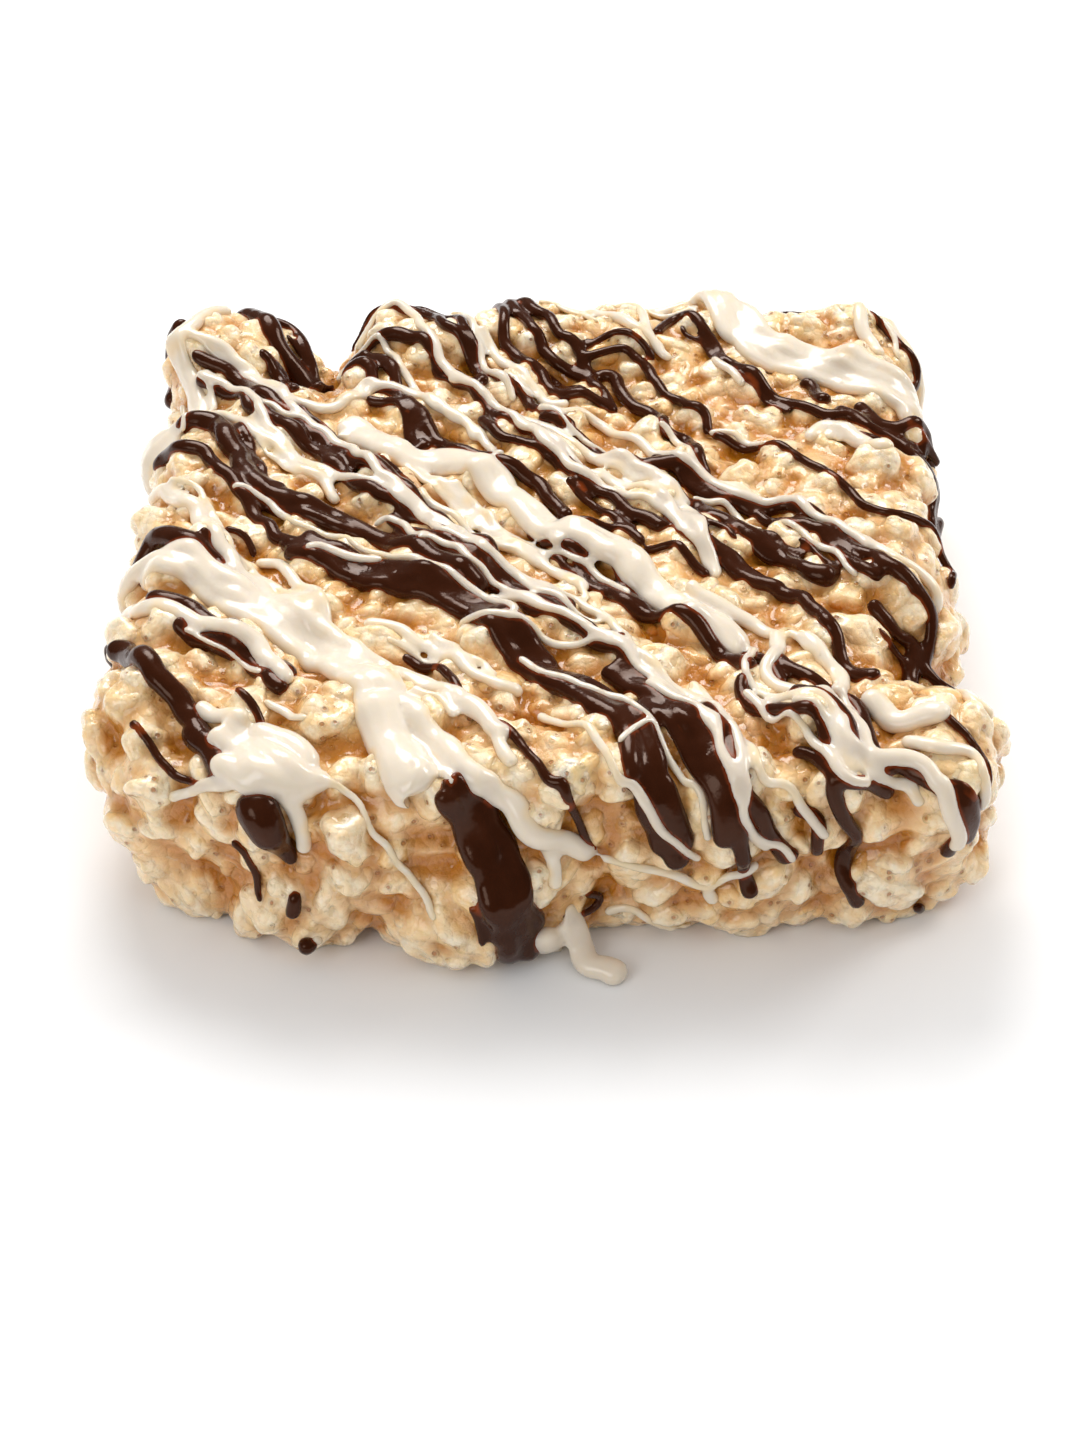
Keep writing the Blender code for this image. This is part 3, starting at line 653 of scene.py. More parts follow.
darkDrizzle = {
    "step": 0.5, "wobble": 0.6, "sink": -0.1, "flat": 0.9, "seed": 4, "threads": 0.15, "bridging": 5,
    "strands": [
        # the two bands that run from the back left corner to the middle
        (2.0, 1, 1.0, [(-39, 32), (-35.5, 29), (-32.5, 25), (-28.5, 20.5), (-24.5, 15), (-20.5, 10.5),
            (-15.5, 5), (-9, -3), (-4, -9), (3, -16)]),
        (1.9, 1, 1.1, [(-39, 29), (-35, 25), (-32.5, 21), (-29.5, 17.5), (-26, 14), (-22, 9), (-18.5, 4),
            (-11.5, -1), (-10, -5), (-3, -12), (5, -20), (8, -22)]),
        (3.0, 2, 1.1, [(6, -24), (11, -30), (15, -36), (18, -47)]),
        (2.6, 1, 1.0, [(-41, 20), (-37, 19), (-34, 13), (-31, 6), (-22, 1), (-16, -4), (-11, -8),
            (-6, -13)]),
        (1.7, 1, 1.0, [(-38, 19), (-35, 15), (-33, 10), (-30, 4), (-24, 0), (-17, -3)]),
        (1.9, 1, 1.0, [(-42, 14), (-38, 12), (-33, 5), (-27, -4), (-24, -6)]),
        (4.4, 3, 1.3, [(-27, -4), (-19, -9), (-8, -15), (-4, -20), (1, -26), (8, -34), (10, -41),
            (13, -49)]),
        (1.4, 1, 1.0, [(-16.5, 0.5), (-13, -3.5), (-9.5, -8), (-6, -10.5), (0, -17)]),
        (2.0, 1, 1.0, [(-8.5, -7.5), (-4.5, -11), (-1.5, -14), (3.5, -18.5)]),
        # the corner behind the notch
        (2.6, 1, 1.1, [(-37, 43), (-34, 39), (-32, 37), (-28, 33), (-26, 28)]),
        (1.7, 1, 1.0, [(-33, 42), (-30, 41), (-28, 37), (-26, 32)]),
        (1.5, 1, 1.1, [(-33, 32), (-30, 31), (-29, 26)]),
        (1.5, 1, 1.0, [(-32, 31.5), (-30.5, 30), (-29, 27), (-28, 24.5)]),
        (2.0, 1, 1.2, [(-40, 38), (-43, 37), (-43, 34)]),
        # back, left of the middle
        (1.5, 1, 1.0, [(-23, 42), (-20.5, 40.5), (-16.5, 39), (-13, 37), (-10, 33.5), (-7.5, 30),
            (-7, 25)]),
        (1.9, 1, 1.0, [(-22, 36), (-14.5, 33.5), (-12, 29), (-10, 28), (-7, 23), (-4.5, 18.5),
            (-1.5, 16.5), (1, 12), (4.5, 6.5)]),
        (1.4, 1, 1.0, [(-16.5, 41), (-13, 39), (-10, 36.5), (-7.5, 32), (-5, 27), (-2, 23.5), (0.5, 19.5),
            (3.5, 17)]),
        (1.5, 1, 1.0, [(-23.5, 32.5), (-21, 33.5), (-18, 30.5), (-16.5, 26.5)]),
        (1.7, 1, 1.0, [(-23.5, 30.5), (-20.5, 30), (-19, 27), (-16.5, 24.5), (-14.5, 21), (-13.5, 14.5)]),
        (1.5, 1, 1.1, [(-20, 24), (-16, 22), (-15, 18), (-14, 14)]),
        (1.9, 1, 1.0, [(-15.5, 23), (-13, 19), (-11, 15), (-5, 10), (0, 6), (2.6, 1)]),
        (1.4, 1, 1.0, [(-7, 19), (-4, 14), (0, 12), (3, 8), (4.5, 6)]),
        (1.6, 1, 1.0, [(-14, 46), (-9, 45), (-7, 42), (-5, 38.5), (-4, 33.5), (-0.5, 29), (2, 25),
            (5, 23.5)]),
        (1.7, 1, 1.0, [(-7.5, 46.5), (-5.5, 44), (-3.5, 39), (-1.5, 36.5), (0.5, 32.5), (3.5, 30),
            (6.5, 28)]),
        (1.5, 1, 1.0, [(-4.5, 44.5), (-2.5, 40.5), (0.5, 37), (3, 34), (5, 30.5), (6, 26.5), (8.5, 22.5)]),
        (1.3, 1, 1.0, [(-0.5, 30), (2, 28), (4, 24.5), (7, 23), (8.5, 22.5)]),
        (1.4, 1, 1.0, [(3, 34), (5, 31.5), (9, 32.5), (11.5, 30), (14, 25), (17.5, 21), (18.5, 18)]),
        (1.7, 1, 1.0, [(6, 29.5), (8.5, 28.5), (10, 24), (13, 20.5), (14, 17), (16, 16), (17, 11.5),
            (18, 9)]),
        # across the middle to the right
        (1.4, 1, 1.0, [(-0.5, 19.5), (2, 17.5), (4, 16), (6.5, 12.5), (10, 10), (12, 7.5), (14.5, 4),
            (16.5, 2.5)]),
        (1.7, 1, 1.0, [(-0.5, 12.5), (2.5, 9.5), (4.5, 7), (6.5, 4), (10, 0.5), (13, -2)]),
        (1.1, 1, 1.0, [(3.5, -1), (6.5, -1.5), (8.5, -2), (10.5, -4.5)]),
        (1.1, 1, 1.0, [(10.5, -5), (13, -5.5), (15, -7.5), (17, -10)]),
        (1.7, 1, 1.0, [(-0.5, -3.5), (2.5, -5.5), (5, -8.5), (7.5, -11.5), (11, -16)]),
        (1.4, 1, 1.0, [(12, 12), (14.5, 10), (16, 7.5), (19, 5), (21.5, 4), (24, 1.5), (27, -3)]),
        (2.0, 1, 1.0, [(10.5, 8.5), (15, 10), (19.5, 5.5), (27, 2.5), (31.5, -4), (34, -6.5)]),
        (2.0, 1, 1.7, [(16, 4.5), (19.5, -1), (25, -6.5), (27.5, -10), (30, -11)]),
        (1.7, 1, 1.0, [(16.5, 2.5), (18.5, 0), (21, -3), (23.5, -6), (26, -6.5)]),
        (1.9, 1, 1.0, [(13.5, 0.5), (15.5, -2.5), (17.5, -5.5), (20, -7.5), (22.5, -10.5), (24.5, -12.5)]),
        (1.7, 1, 1.0, [(12.5, 2.5), (15, -1), (20, -9), (25.5, -13.5), (29, -20), (30, -24), (33, -26)]),
        (1.5, 1, 1.0, [(25.5, -2), (28.5, -3), (32.5, -10.5), (34.5, -12)]),
        (1.9, 1, 1.0, [(26.5, 0), (28.5, -3), (31, -5.5), (34, -8.5), (35.5, -11), (39, -14), (42, -17),
            (44, -25.5)]),
        (1.9, 1, 1.1, [(33.5, -14), (35.5, -16.5), (38, -17), (40, -21), (42.5, -23)]),
        # back right, over the edge
        (1.4, 1, 1.0, [(13, 35), (16.5, 38), (20.5, 33), (24, 27), (32, 20), (36.5, 19.5), (43, 14),
            (43.5, 8)]),
        (1.7, 1, 1.1, [(29.5, 27.5), (31, 27), (32, 22.5)]),
        (1.7, 1, 1.1, [(35.5, 22.5), (39, 18.5), (42, 20), (44, 17), (44.5, 13), (43.5, 7.5)]),
        (1.7, 1, 1.0, [(33, 21), (37, 17), (40.5, 16), (42.5, 13), (43, 9)]),
        (1.0, 1, 1.0, [(31.5, 19), (35.5, 15), (38, 14)]),
        (1.1, 1, 1.0, [(19, 18), (25, 13.5), (30.5, 8), (35.5, 1), (41.5, 0.5), (42.5, -5.5)]),
        (1.3, 1, 1.0, [(29.5, 45), (33, 45.5), (35, 43), (37.5, 39.5), (42, 34), (42, 31)]),
        (1.4, 1, 1.0, [(35, 44), (37.5, 45), (40.5, 43), (43, 39), (44, 33)]),
        (1.0, 1, 1.0, [(23, 45), (26, 42.5), (29, 39.5), (31.5, 39)]),
        (1.4, 1, 1.1, [(20, 43.5), (23.5, 41.5), (24.5, 37)]),
        # middle of the front edge, with the drips there
        (2.0, 1, 1.0, [(-1.5, -1), (4, -7), (8.5, -14), (15.5, -19.5), (20.5, -26)]),
        (1.5, 1, 1.0, [(17.5, -18), (22.5, -24.5), (23, -28)]),
        (1.9, 1, 1.0, [(3, -18), (9, -25), (12, -30), (14.5, -34.5), (16.5, -40.5), (19, -47.5)]),
        (1.5, 1, 1.2, [(9, -30.5), (12, -34.5), (14.5, -38.5), (17.5, -44), (19.5, -48.5)]),
        (1.5, 1, 1.0, [(19.5, -27), (20, -31), (24, -34), (26.5, -36.5), (27.5, -39), (30.5, -41),
            (33, -42.5)]),
        (1.7, 1, 1.0, [(22.5, -23), (26.5, -28), (30, -30.5), (31.5, -38), (34.5, -38), (39, -45),
            (38.5, -50)]),
        (1.9, 1, 1.0, [(31.5, -38.5), (34, -37.5), (36, -39.5), (38, -42.5), (40, -45), (39.5, -48)]),
        (1.9, 1, 1.0, [(23.5, -30.5), (28, -33.5), (29, -38)]),
        (1.6, 1, 1.3, [(23.5, -36.5), (25.5, -37.5), (27, -40), (27.5, -43), (29.5, -46), (29, -50),
            (29.5, -53), (31, -56)]),
        (1.9, 1, 1.3, [(15, -31), (17.5, -35.5), (18.5, -41), (23.5, -49)]),
        (1.4, 1, 1.1, [(23.5, -43.5), (26, -45), (26, -48.5)]),
        (1.6, 1, 1.3, [(19, -47.5), (20, -52.5)]),
        # front left
        (2.6, 1, 1.0, [(-42.5, -5.5), (-39.5, -3.5), (-37, -6), (-33, -9.5), (-30.5, -14)]),
        (1.9, 1, 1.0, [(-41, -8), (-37, -8.5), (-33, -12), (-30, -15)]),
        (0.9, 1, 1.0, [(-33.5, -2), (-31.5, -3), (-30.5, -5.5)]),
        (2.6, 1, 1.0, [(-39, -14.5), (-35.5, -16.5), (-33, -19), (-30, -21.5), (-27, -24.5),
            (-24.5, -27.5)]),
        (1.9, 1, 1.0, [(-36.5, -19), (-31, -23), (-28, -25), (-25, -29.5)]),
        (2.0, 1, 1.2, [(-43, -12), (-43.5, -15), (-42, -17)]),
        (2.6, 1, 1.0, [(-41.5, -19.5), (-38, -25.5), (-36, -29), (-33, -32)]),
        (3.0, 1, 1.0, [(-34, -32), (-32, -35), (-30, -38), (-30, -40.5)]),
        (1.0, 1, 1.0, [(-39.5, -32), (-35, -37.5), (-31.5, -41.5)]),
        (1.0, 1, 1.0, [(-29.5, -29.5), (-26.5, -34)]),
        (0.9, 1, 1.0, [(-29.5, -47), (-28, -49.5), (-27, -54)]),
        (4.6, 1, 0.3, [(-27.5, -42), (-25.5, -45), (-24, -49.5)]),
        (1.4, 1, 1.1, [(-24, -52), (-24, -55)]),
        (1.9, 1, 1.1, [(-23, -57), (-22, -58.5)]),
        (5.0, 3, 1.1, [(-9, -39.5), (-7, -43), (-5, -47), (-3, -52), (-2.5, -58)]),
        (3.6, 2, 1.2, [(-4, -50), (-3, -54), (-2.5, -58), (-2.5, -61.5)]),
        (1.1, 1, 1.0, [(-14, -22), (-10, -25), (-7, -31), (-3, -35.5), (1.5, -41), (5, -48.5)]),
        (1.0, 1, 1.0, [(2, -55.5), (4.5, -56.5), (5.5, -55), (4, -53.5)]),
        (0.9, 1, 1.0, [(37.5, -32), (40.5, -36), (43, -42)]),
        (1.2, 1, 1.0, [(37, -58), (39, -60)]),
    ],
}

whiteDrizzle = {
    "step": 0.5, "wobble": 0.6, "sink": 0.0, "flat": 0.8, "seed": 8, "threads": 0.4, "bridging": 5,
    "strands": [
        # back left corner, with the bead at the edge
        (3.0, 2, 1.2, [(-37.5, 41), (-39, 36), (-40.5, 31), (-40, 24), (-41.5, 19), (-43.5, 15)]),
        (7.2, 1, 1.0, [(-41, 21), (-42.5, 18.5), (-43.5, 16)]),
        (1.4, 1, 1.0, [(-39, 34.5), (-31, 27), (-28, 23), (-23, 22), (-19.5, 26), (-14, 24), (-7, 15.5)]),
        (1.2, 1, 1.0, [(-38.5, 33.5), (-35, 30), (-31.5, 25.5), (-26.5, 19), (-21.5, 12), (-15.5, 4),
            (-9, -4)]),
        (0.9, 1, 1.0, [(-38.5, 30), (-35.5, 25.5), (-32, 22.5), (-27, 18.5), (-25, 16.5)]),
        (1.4, 1, 1.0, [(-37.5, 21), (-34.5, 19.5), (-32.5, 16.5), (-30, 14), (-27, 10), (-23.5, 6.5),
            (-22, 4)]),
        (1.1, 1, 1.0, [(-39, 29), (-33, 22.5), (-30.5, 16.5), (-27, 11.5), (-20.5, 6.5), (-14, 1),
            (-9.5, -5), (-2.5, -10.5), (5, -16), (10, -24.5), (17.5, -34), (19, -44.5), (21.5, -47)]),
        (1.0, 1, 1.0, [(-33.5, 4.5), (-30, 3.5), (-25.5, -1), (-18, -6), (-10, -11), (-2.5, -19)]),
        (1.0, 1, 1.0, [(-18, -0.5), (-16.5, 0), (-14.5, -2.5), (-12.5, -5), (-13, -6)]),
        (1.1, 1, 1.0, [(-24.5, -7.5), (-23, -7), (-20, -8), (-16.5, -8.5)]),
        # back, left of the middle
        (1.0, 1, 1.0, [(-24, 32.5), (-22.5, 34.5), (-20, 35), (-17.5, 32.5), (-16, 28.5), (-12.5, 23)]),
        (1.2, 1, 1.0, [(-22.5, 23), (-20.5, 27), (-18, 26), (-14, 24), (-10.5, 19.5), (-7, 16),
            (-4.5, 10)]),
        (1.3, 1, 1.0, [(-22, 37), (-18.5, 39.5), (-14.5, 36.5), (-11, 28.5), (-7, 23), (-3, 17.5),
            (4, 7.5), (8, 4.5), (12.5, 1), (15.5, -4.5), (18, -10)]),
        (1.1, 1, 1.0, [(-10.5, 27), (-7, 23), (-3.5, 18.5), (-0.5, 15), (3, 10.5), (6, 7.5), (14, 3),
            (17, -6)]),
        (1.1, 1, 1.0, [(-11, 40.5), (-8.5, 37), (-7.5, 33.5), (-6, 28), (-3, 23)]),
        (1.4, 1, 1.0, [(-7, 36), (-5, 31.5), (-2.5, 28), (0.5, 23.5), (3, 23)]),
        (4.0, 2, 1.0, [(-23.5, 20), (-20.5, 17.5), (-16, 12.5), (-10, 11), (-5, 6.5), (0, -1), (7, -6),
            (14, -15.5), (21, -21.5)]),
        (1.4, 1, 1.0, [(-23, 17), (-19, 16.5), (-15.5, 12.5), (-11.5, 7.5), (-8, 4), (-5, -1.5),
            (0.5, -7.5), (4.5, -12)]),
        (1.4, 1, 1.0, [(-11.5, 10), (-7, 7.5), (-3.5, 4), (-0.5, 0), (2, -5.5)]),
        (1.2, 1, 1.0, [(-13.5, 5), (-10, 1), (-6.5, -2.5), (-3, -5.5), (0.5, -8), (3.5, -11.5)]),
        (1.0, 1, 1.0, [(-13, -4), (-9.5, -7), (-6, -11), (-3, -13.5), (2, -17.5), (5, -20)]),
        # across the middle to the right
        (1.5, 1, 1.0, [(-4.5, 22), (0, 17.5), (5.5, 12), (9.5, 10), (15.5, 2.5)]),
        (1.3, 1, 1.0, [(-0.5, 21), (2, 19), (5, 20.5), (8.5, 17), (13, 12), (16, 9.5), (21.5, 5),
            (25.5, 4), (28.5, 0.5), (34, -6.5)]),
        (1.4, 1, 1.0, [(-0.5, 18.5), (2.5, 15), (5, 12), (8, 9.5), (11, 7), (14, 4), (16, -1), (18, -9.5)]),
        (1.0, 1, 1.0, [(13, 17.5), (15.5, 14), (16.5, 10), (20.5, 7), (23.5, 4.5)]),
        (1.0, 1, 1.0, [(16, 4), (19, 4.5), (21, 2.5), (23, -2)]),
        (1.0, 1, 1.0, [(24, 0), (26.5, -3), (29, -6), (31, -9.5), (32.5, -11)]),
        (2.0, 1, 1.2, [(29.5, 15), (31.5, 17.5), (34.5, 15), (36, 12), (37.5, 10.5)]),
        (1.5, 1, 1.0, [(33.5, -4.5), (36.5, -9), (39, -10.5), (41, -13)]),
        (1.0, 1, 1.0, [(18.5, 17.5), (21.5, 17.5), (23.5, 15.5), (24.5, 13.5)]),
        (1.0, 1, 1.0, [(19.5, 31), (21.5, 28.5), (23, 25.5)]),
        # the wide run along the back right
        (5.6, 4, 1.1, [(-3, 45), (5.5, 44), (11, 43), (15.5, 42), (19.5, 42), (23, 37), (26.5, 33),
            (31.5, 31), (37.5, 27), (41.5, 25), (43.5, 21)]),
        (3.0, 2, 1.2, [(14, 42), (17, 44), (20, 44), (22.5, 40)]),
        (1.5, 1, 1.0, [(-0.5, 42), (4, 40.5), (7, 38), (11, 35.5), (14, 32.5)]),
        (1.2, 1, 1.0, [(6.5, 39), (9, 40), (11.5, 38), (12.5, 34), (15, 31.5)]),
        (1.7, 1, 1.0, [(29.5, 44), (34, 42.5), (37, 38), (38, 31.5)]),
        (1.9, 1, 1.0, [(37, 42), (40, 40.5), (42.5, 35), (43.5, 32)]),
        (1.0, 1, 1.0, [(35, 45), (38, 46), (41, 43), (43, 38.5)]),
        # the wide run at the front left, its second run beside it, and the pool
        (4.8, 3, 1.1, [(-43, -8), (-39, -8), (-34.5, -11), (-26, -18), (-18, -26), (-15, -33), (-12, -40)]),
        (4.8, 1, 1.15, [(-16.5, -30), (-14, -36), (-11.5, -42)]),
        (1.9, 1, 1.0, [(-43.5, -11), (-40, -15), (-33, -20), (-27.5, -24), (-24.5, -28.5)]),
        (2.0, 1, 1.0, [(-42, 9.5), (-37, 1.5), (-32.5, -8), (-27, -13.5), (-20.5, -19.5), (-14.5, -25),
            (-9, -29), (-3.5, -36)]),
        (1.4, 1, 1.0, [(-30, -6.5), (-27.5, -7), (-25, -11), (-22.5, -14), (-21.5, -17.5)]),
        (2.6, 1, 1.0, [(-20, -25), (-15, -29), (-7.5, -38.5), (-2, -44), (5, -48.5)]),
        (1.4, 1, 1.2, [(0, -46), (1.5, -51)]),
        (1.5, 1, 1.0, [(-18, -17.5), (-14, -19), (-10.5, -21.5), (-7.5, -25), (-5, -27.5), (-2, -28.5)]),
        (1.5, 1, 1.0, [(-14, -24.5), (-12, -27.5), (-9, -29), (-7, -31.5), (-4.5, -35), (-3, -38.5)]),
        (1.2, 1, 1.0, [(-0.5, -45), (1.5, -46.5), (3.5, -48), (5, -49)]),
        (8.0, 4, 1.0, [(-31, -33.5), (-27, -37), (-22.5, -40.5), (-21, -42.5)]),
        (1.9, 1, 1.0, [(-33.5, -30.5), (-31, -32), (-28, -33)]),
        (1.5, 1, 1.0, [(-28, -39), (-32, -41.5), (-35.5, -44.5)]),
        (1.7, 1, 1.1, [(-25, -40.5), (-23, -44.5), (-22.5, -48)]),
        (0.9, 1, 1.0, [(-21, -39), (-16.5, -44), (-10, -53)]),
        (1.2, 1, 1.0, [(-22.3, -57), (-21.5, -58)]),
        # thin crossing strands at the front
        (1.0, 1, 1.0, [(-8.5, -19), (0, -20.5), (6.5, -22), (11, -28), (15, -33), (18, -40)]),
        (0.9, 1, 1.0, [(-2.5, -24), (4.5, -30), (8, -31.5), (14, -41), (15.5, -46)]),
        (1.1, 1, 1.0, [(-0.5, -31), (2.5, -34), (5.5, -37.5), (8.5, -41.5), (11.5, -45), (15, -48.5)]),
        (0.9, 1, 1.0, [(7, -37), (10, -34.5)]),
        (1.0, 1, 1.0, [(-5.5, -13), (1, -17), (8.5, -23)]),
        (1.0, 1, 1.0, [(-9.5, -2.5), (-6.5, -7), (-3, -10.5), (0.5, -14), (5.5, -18.5)]),
        (1.0, 1, 1.0, [(10, -28), (12.5, -31), (15.5, -33.5), (16.5, -36.5), (18.5, -42.5), (19.5, -45),
            (22.5, -46.5), (24, -48.5)]),
        (1.1, 1, 1.0, [(14.5, -27), (18, -34), (19.5, -37), (21, -40), (23.5, -42), (26.5, -46)]),
        (1.1, 1, 1.0, [(19.5, -29.5), (21, -32), (22, -34), (25.5, -36.5), (27.5, -39), (30.5, -41)]),
        (1.7, 1, 1.0, [(14.5, -13), (22, -18), (23.5, -21), (22, -27), (29.5, -33.5), (30.5, -37),
            (36, -38.5), (38.5, -48)]),
        (1.4, 1, 1.0, [(21, -31), (24, -32), (27, -33.5), (29, -37), (33.5, -40.5), (35.5, -43.5)]),
        (1.1, 1, 1.0, [(24.5, -19), (28.5, -25.5), (29.5, -33.5), (30, -37)]),
        (1.9, 1, 1.0, [(25.5, -20), (29, -25.5), (28.5, -29.5)]),
        (1.4, 1, 1.0, [(34, -35), (37, -36.5), (39.5, -36.5), (41, -38.5), (42.5, -39.5)]),
        (2.6, 1, 1.2, [(31, -29), (34, -32), (38, -33)]),
        (1.7, 1, 1.0, [(41.5, -22.5), (41, -31)]),
        (1.0, 1, 1.0, [(5.5, -49), (9, -50), (12.5, -50.5), (16, -51.5), (19, -50), (20.5, -49)]),
        (1.2, 1, 1.3, [(16, -51.5), (16.5, -54.5)]),
        (1.0, 1, 1.0, [(6, -57), (9, -56), (11, -57.5), (13, -59)]),
        (1.1, 1, 1.2, [(1.5, -56.5), (2.5, -58)]),
        (3.2, 1, 0.9, [(-0.5, -56), (1, -59), (2.5, -62), (4.5, -65)]),
        (2.5, 1, 1.2, [(2.5, -62), (4.5, -65), (7.8, -67.2)]),
        (1.1, 1, 1.3, [(13.5, -58.5), (14, -61)]),
        (1.0, 1, 1.0, [(-7, -1), (-4, -4), (0, -7), (3, -9.5), (4.5, -14)]),
    ],
}

# where the front fold is in plan, how steeply a strand drops past the side and the back, and how low it lies
folds = {"front": -41.0, "sideDrop": 2.4, "backDrop": 0.8, "low": 0.9}


def unfold(u, v):
    # from plan to a place on the plain box, down the front, sides or back past their folds
    w, d, h = block["halfWidth"], block["halfDepth"], block["height"]
    x, y, z = u, v, h
    if v < folds["front"]:
        y = -d
        z = h - (folds["front"] - v)
    elif v < -d:
        y = -d
    elif v > d:
        y = d
        z = h - folds["backDrop"] * (v - d)
    if abs(u) > w:
        x = math.copysign(w, u)
        z = min(z, h - folds["sideDrop"] * (abs(u) - w))
    # off the foot of the front and out over the ground
    beyond = 1.2 * max(folds["low"] - z, 0) if v < folds["front"] else 0
    return x, y, max(z, folds["low"]), beyond


def smoothRoute(points, step):
    # Catmull-Rom through the points, read at even steps
    ends = [points[0]] + list(points) + [points[-1]]
    found = []
    for p0, p1, p2, p3 in zip(ends, ends[1:], ends[2:], ends[3:]):
        p0, p1, p2, p3 = map(np.array, (p0, p1, p2, p3))
        count = max(2, round(np.linalg.norm(p2 - p1) / step))
        for t in np.arange(count) / count:
            found.append(0.5 * (2 * p1 + (p2 - p0) * t + (2 * p0 - 5 * p1 + 4 * p2 - p3) * t * t
                                + (3 * p1 - p0 - 3 * p2 + p3) * t ** 3))
    found.append(np.array(points[-1], dtype=float))
    return np.array(found)


strandForm = {
    # strands side by side: how wide each is against an even share, and how much shorter the outer ones are
    "ribShare": 1.45, "ribShorter": 0.35,
    # thin threads beside a strand: the least width and length of that strand, then their width and their gap
    "fromWidth": 1.3, "fromLength": 9, "threadWidth": (0.65, 1.15), "threadGap": (0.4, 1.3),
    # lengths of the sideways wobble and of the swelling, and how much thin and wide strands swell
    "wobbleLength": 2.6, "swellLength": 4.5, "wide": 2.5, "thinSwell": 0.28, "wideSwell": 0.14,
    # where the thin threads begin and how far they run, as shares of the strand
    "threadStart": (0, 0.45), "threadShare": (0.35, 0.6),
    # the height over the block's form that a line falls from, how far it may fall, and the depth at which
    # it has run clear of the block
    "drop": 9.0, "farthest": 15.0, "lost": -3.0,
    # how strands that touch flow together
    "voxel": 0.24, "grow": 0.14, "fineVoxel": 0.26, "shrink": -0.12, "triangles": 190000,
}


def layStrands(name, plan):
    # the strands' centre lines over the block's form, with the way out and the thickness at each point
    form = strandForm
    plain, thickness, edges = [], [], []
    chance = random.Random(plan["seed"])
    for number, (width, ribs, endSize, points) in enumerate(plan["strands"]):
        route = smoothRoute(points, plan["step"])
        along = np.gradient(route, axis=0)
        across = np.column_stack((-along[:, 1], along[:, 0]))
        across /= np.maximum(np.linalg.norm(across, axis=1), 1e-6)[:, None]
        ribWidth = width if ribs == 1 else form["ribShare"] * width / ribs
        full = np.arange(len(route)) * plan["step"]
        threads = []
        for rib in range(ribs):
            # side by side, the outer ones a little shorter so that the end is round
            side = 0 if ribs == 1 else (rib / (ribs - 1) - 0.5) * (width - ribWidth)
            short = 0 if ribs == 1 else form["ribShorter"] * width * (2 * rib / (ribs - 1) - 1) ** 2
            threads.append((side, ribWidth, short, full[-1] - short))
        if width > form["fromWidth"] and full[-1] > form["fromLength"]:
            # thin threads that run beside a strand for part of its way
            for turn in (-1, 1):
                if chance.random() < plan["threads"]:
                    begin = chance.uniform(*form["threadStart"]) * full[-1]
                    finish = begin + chance.uniform(*form["threadShare"]) * full[-1]
                    thin = chance.uniform(*form["threadWidth"])
                    side = turn * (0.5 * width + chance.uniform(*form["threadGap"]))
                    threads.append((side, thin, begin, finish))
        for rib, (side, ribWidth, begin, finish) in enumerate(threads):
            kept = (full >= begin) & (full <= finish)
            distance = full[kept] - begin
            tag = plan["seed"] * 13.7 + number * 3.3 + rib * 1.9
            shift = [side + plan["wobble"] * noise.noise(Vector((s / form["wobbleLength"], tag, 0)))
                     for s in full[kept]]
            line = route[kept] + across[kept] * np.array(shift)[:, None]
            bulge = form["thinSwell"] if width < form["wide"] else form["wideSwell"]
            swell = [1 + bulge * noise.noise(Vector((s / form["swellLength"], tag, 5))) for s in distance]
            radius = 0.5 * ribWidth * np.array(swell)
            left = distance[-1] - distance
            # ends run out round, and a strand's own end may be thicker
            if rib < ribs:
                radius *= 1 + (endSize - 1) * np.exp(-(left / (0.8 * width + 0.6)) ** 2)
            for gone in (distance, left):
                radius *= np.sqrt(np.clip(1 - (1 - np.minimum(gone / radius, 1)) ** 2, 0.12, 1))
            start = len(plain)
            plain += [unfold(u, v) for u, v in line]
            thickness += list(radius)
            edges += [(i, i + 1) for i in range(start, len(plain) - 1)]
    plain = np.array(plain)
    place, out = onBlock(plain[:, :3])
    beyond = plain[:, 3]
    place[:, 1] -= beyond
    out[beyond > 0] = (0, 0, 1)
    laid = newObject(name, newMesh(name, place, edges))
    writeValue(laid.data, "thickness", thickness)
    away = laid.data.attributes.new("away", 'FLOAT_VECTOR', 'POINT')
    away.data.foreach_set("vector", np.asarray(out, dtype=np.float32).ravel())
    return laid


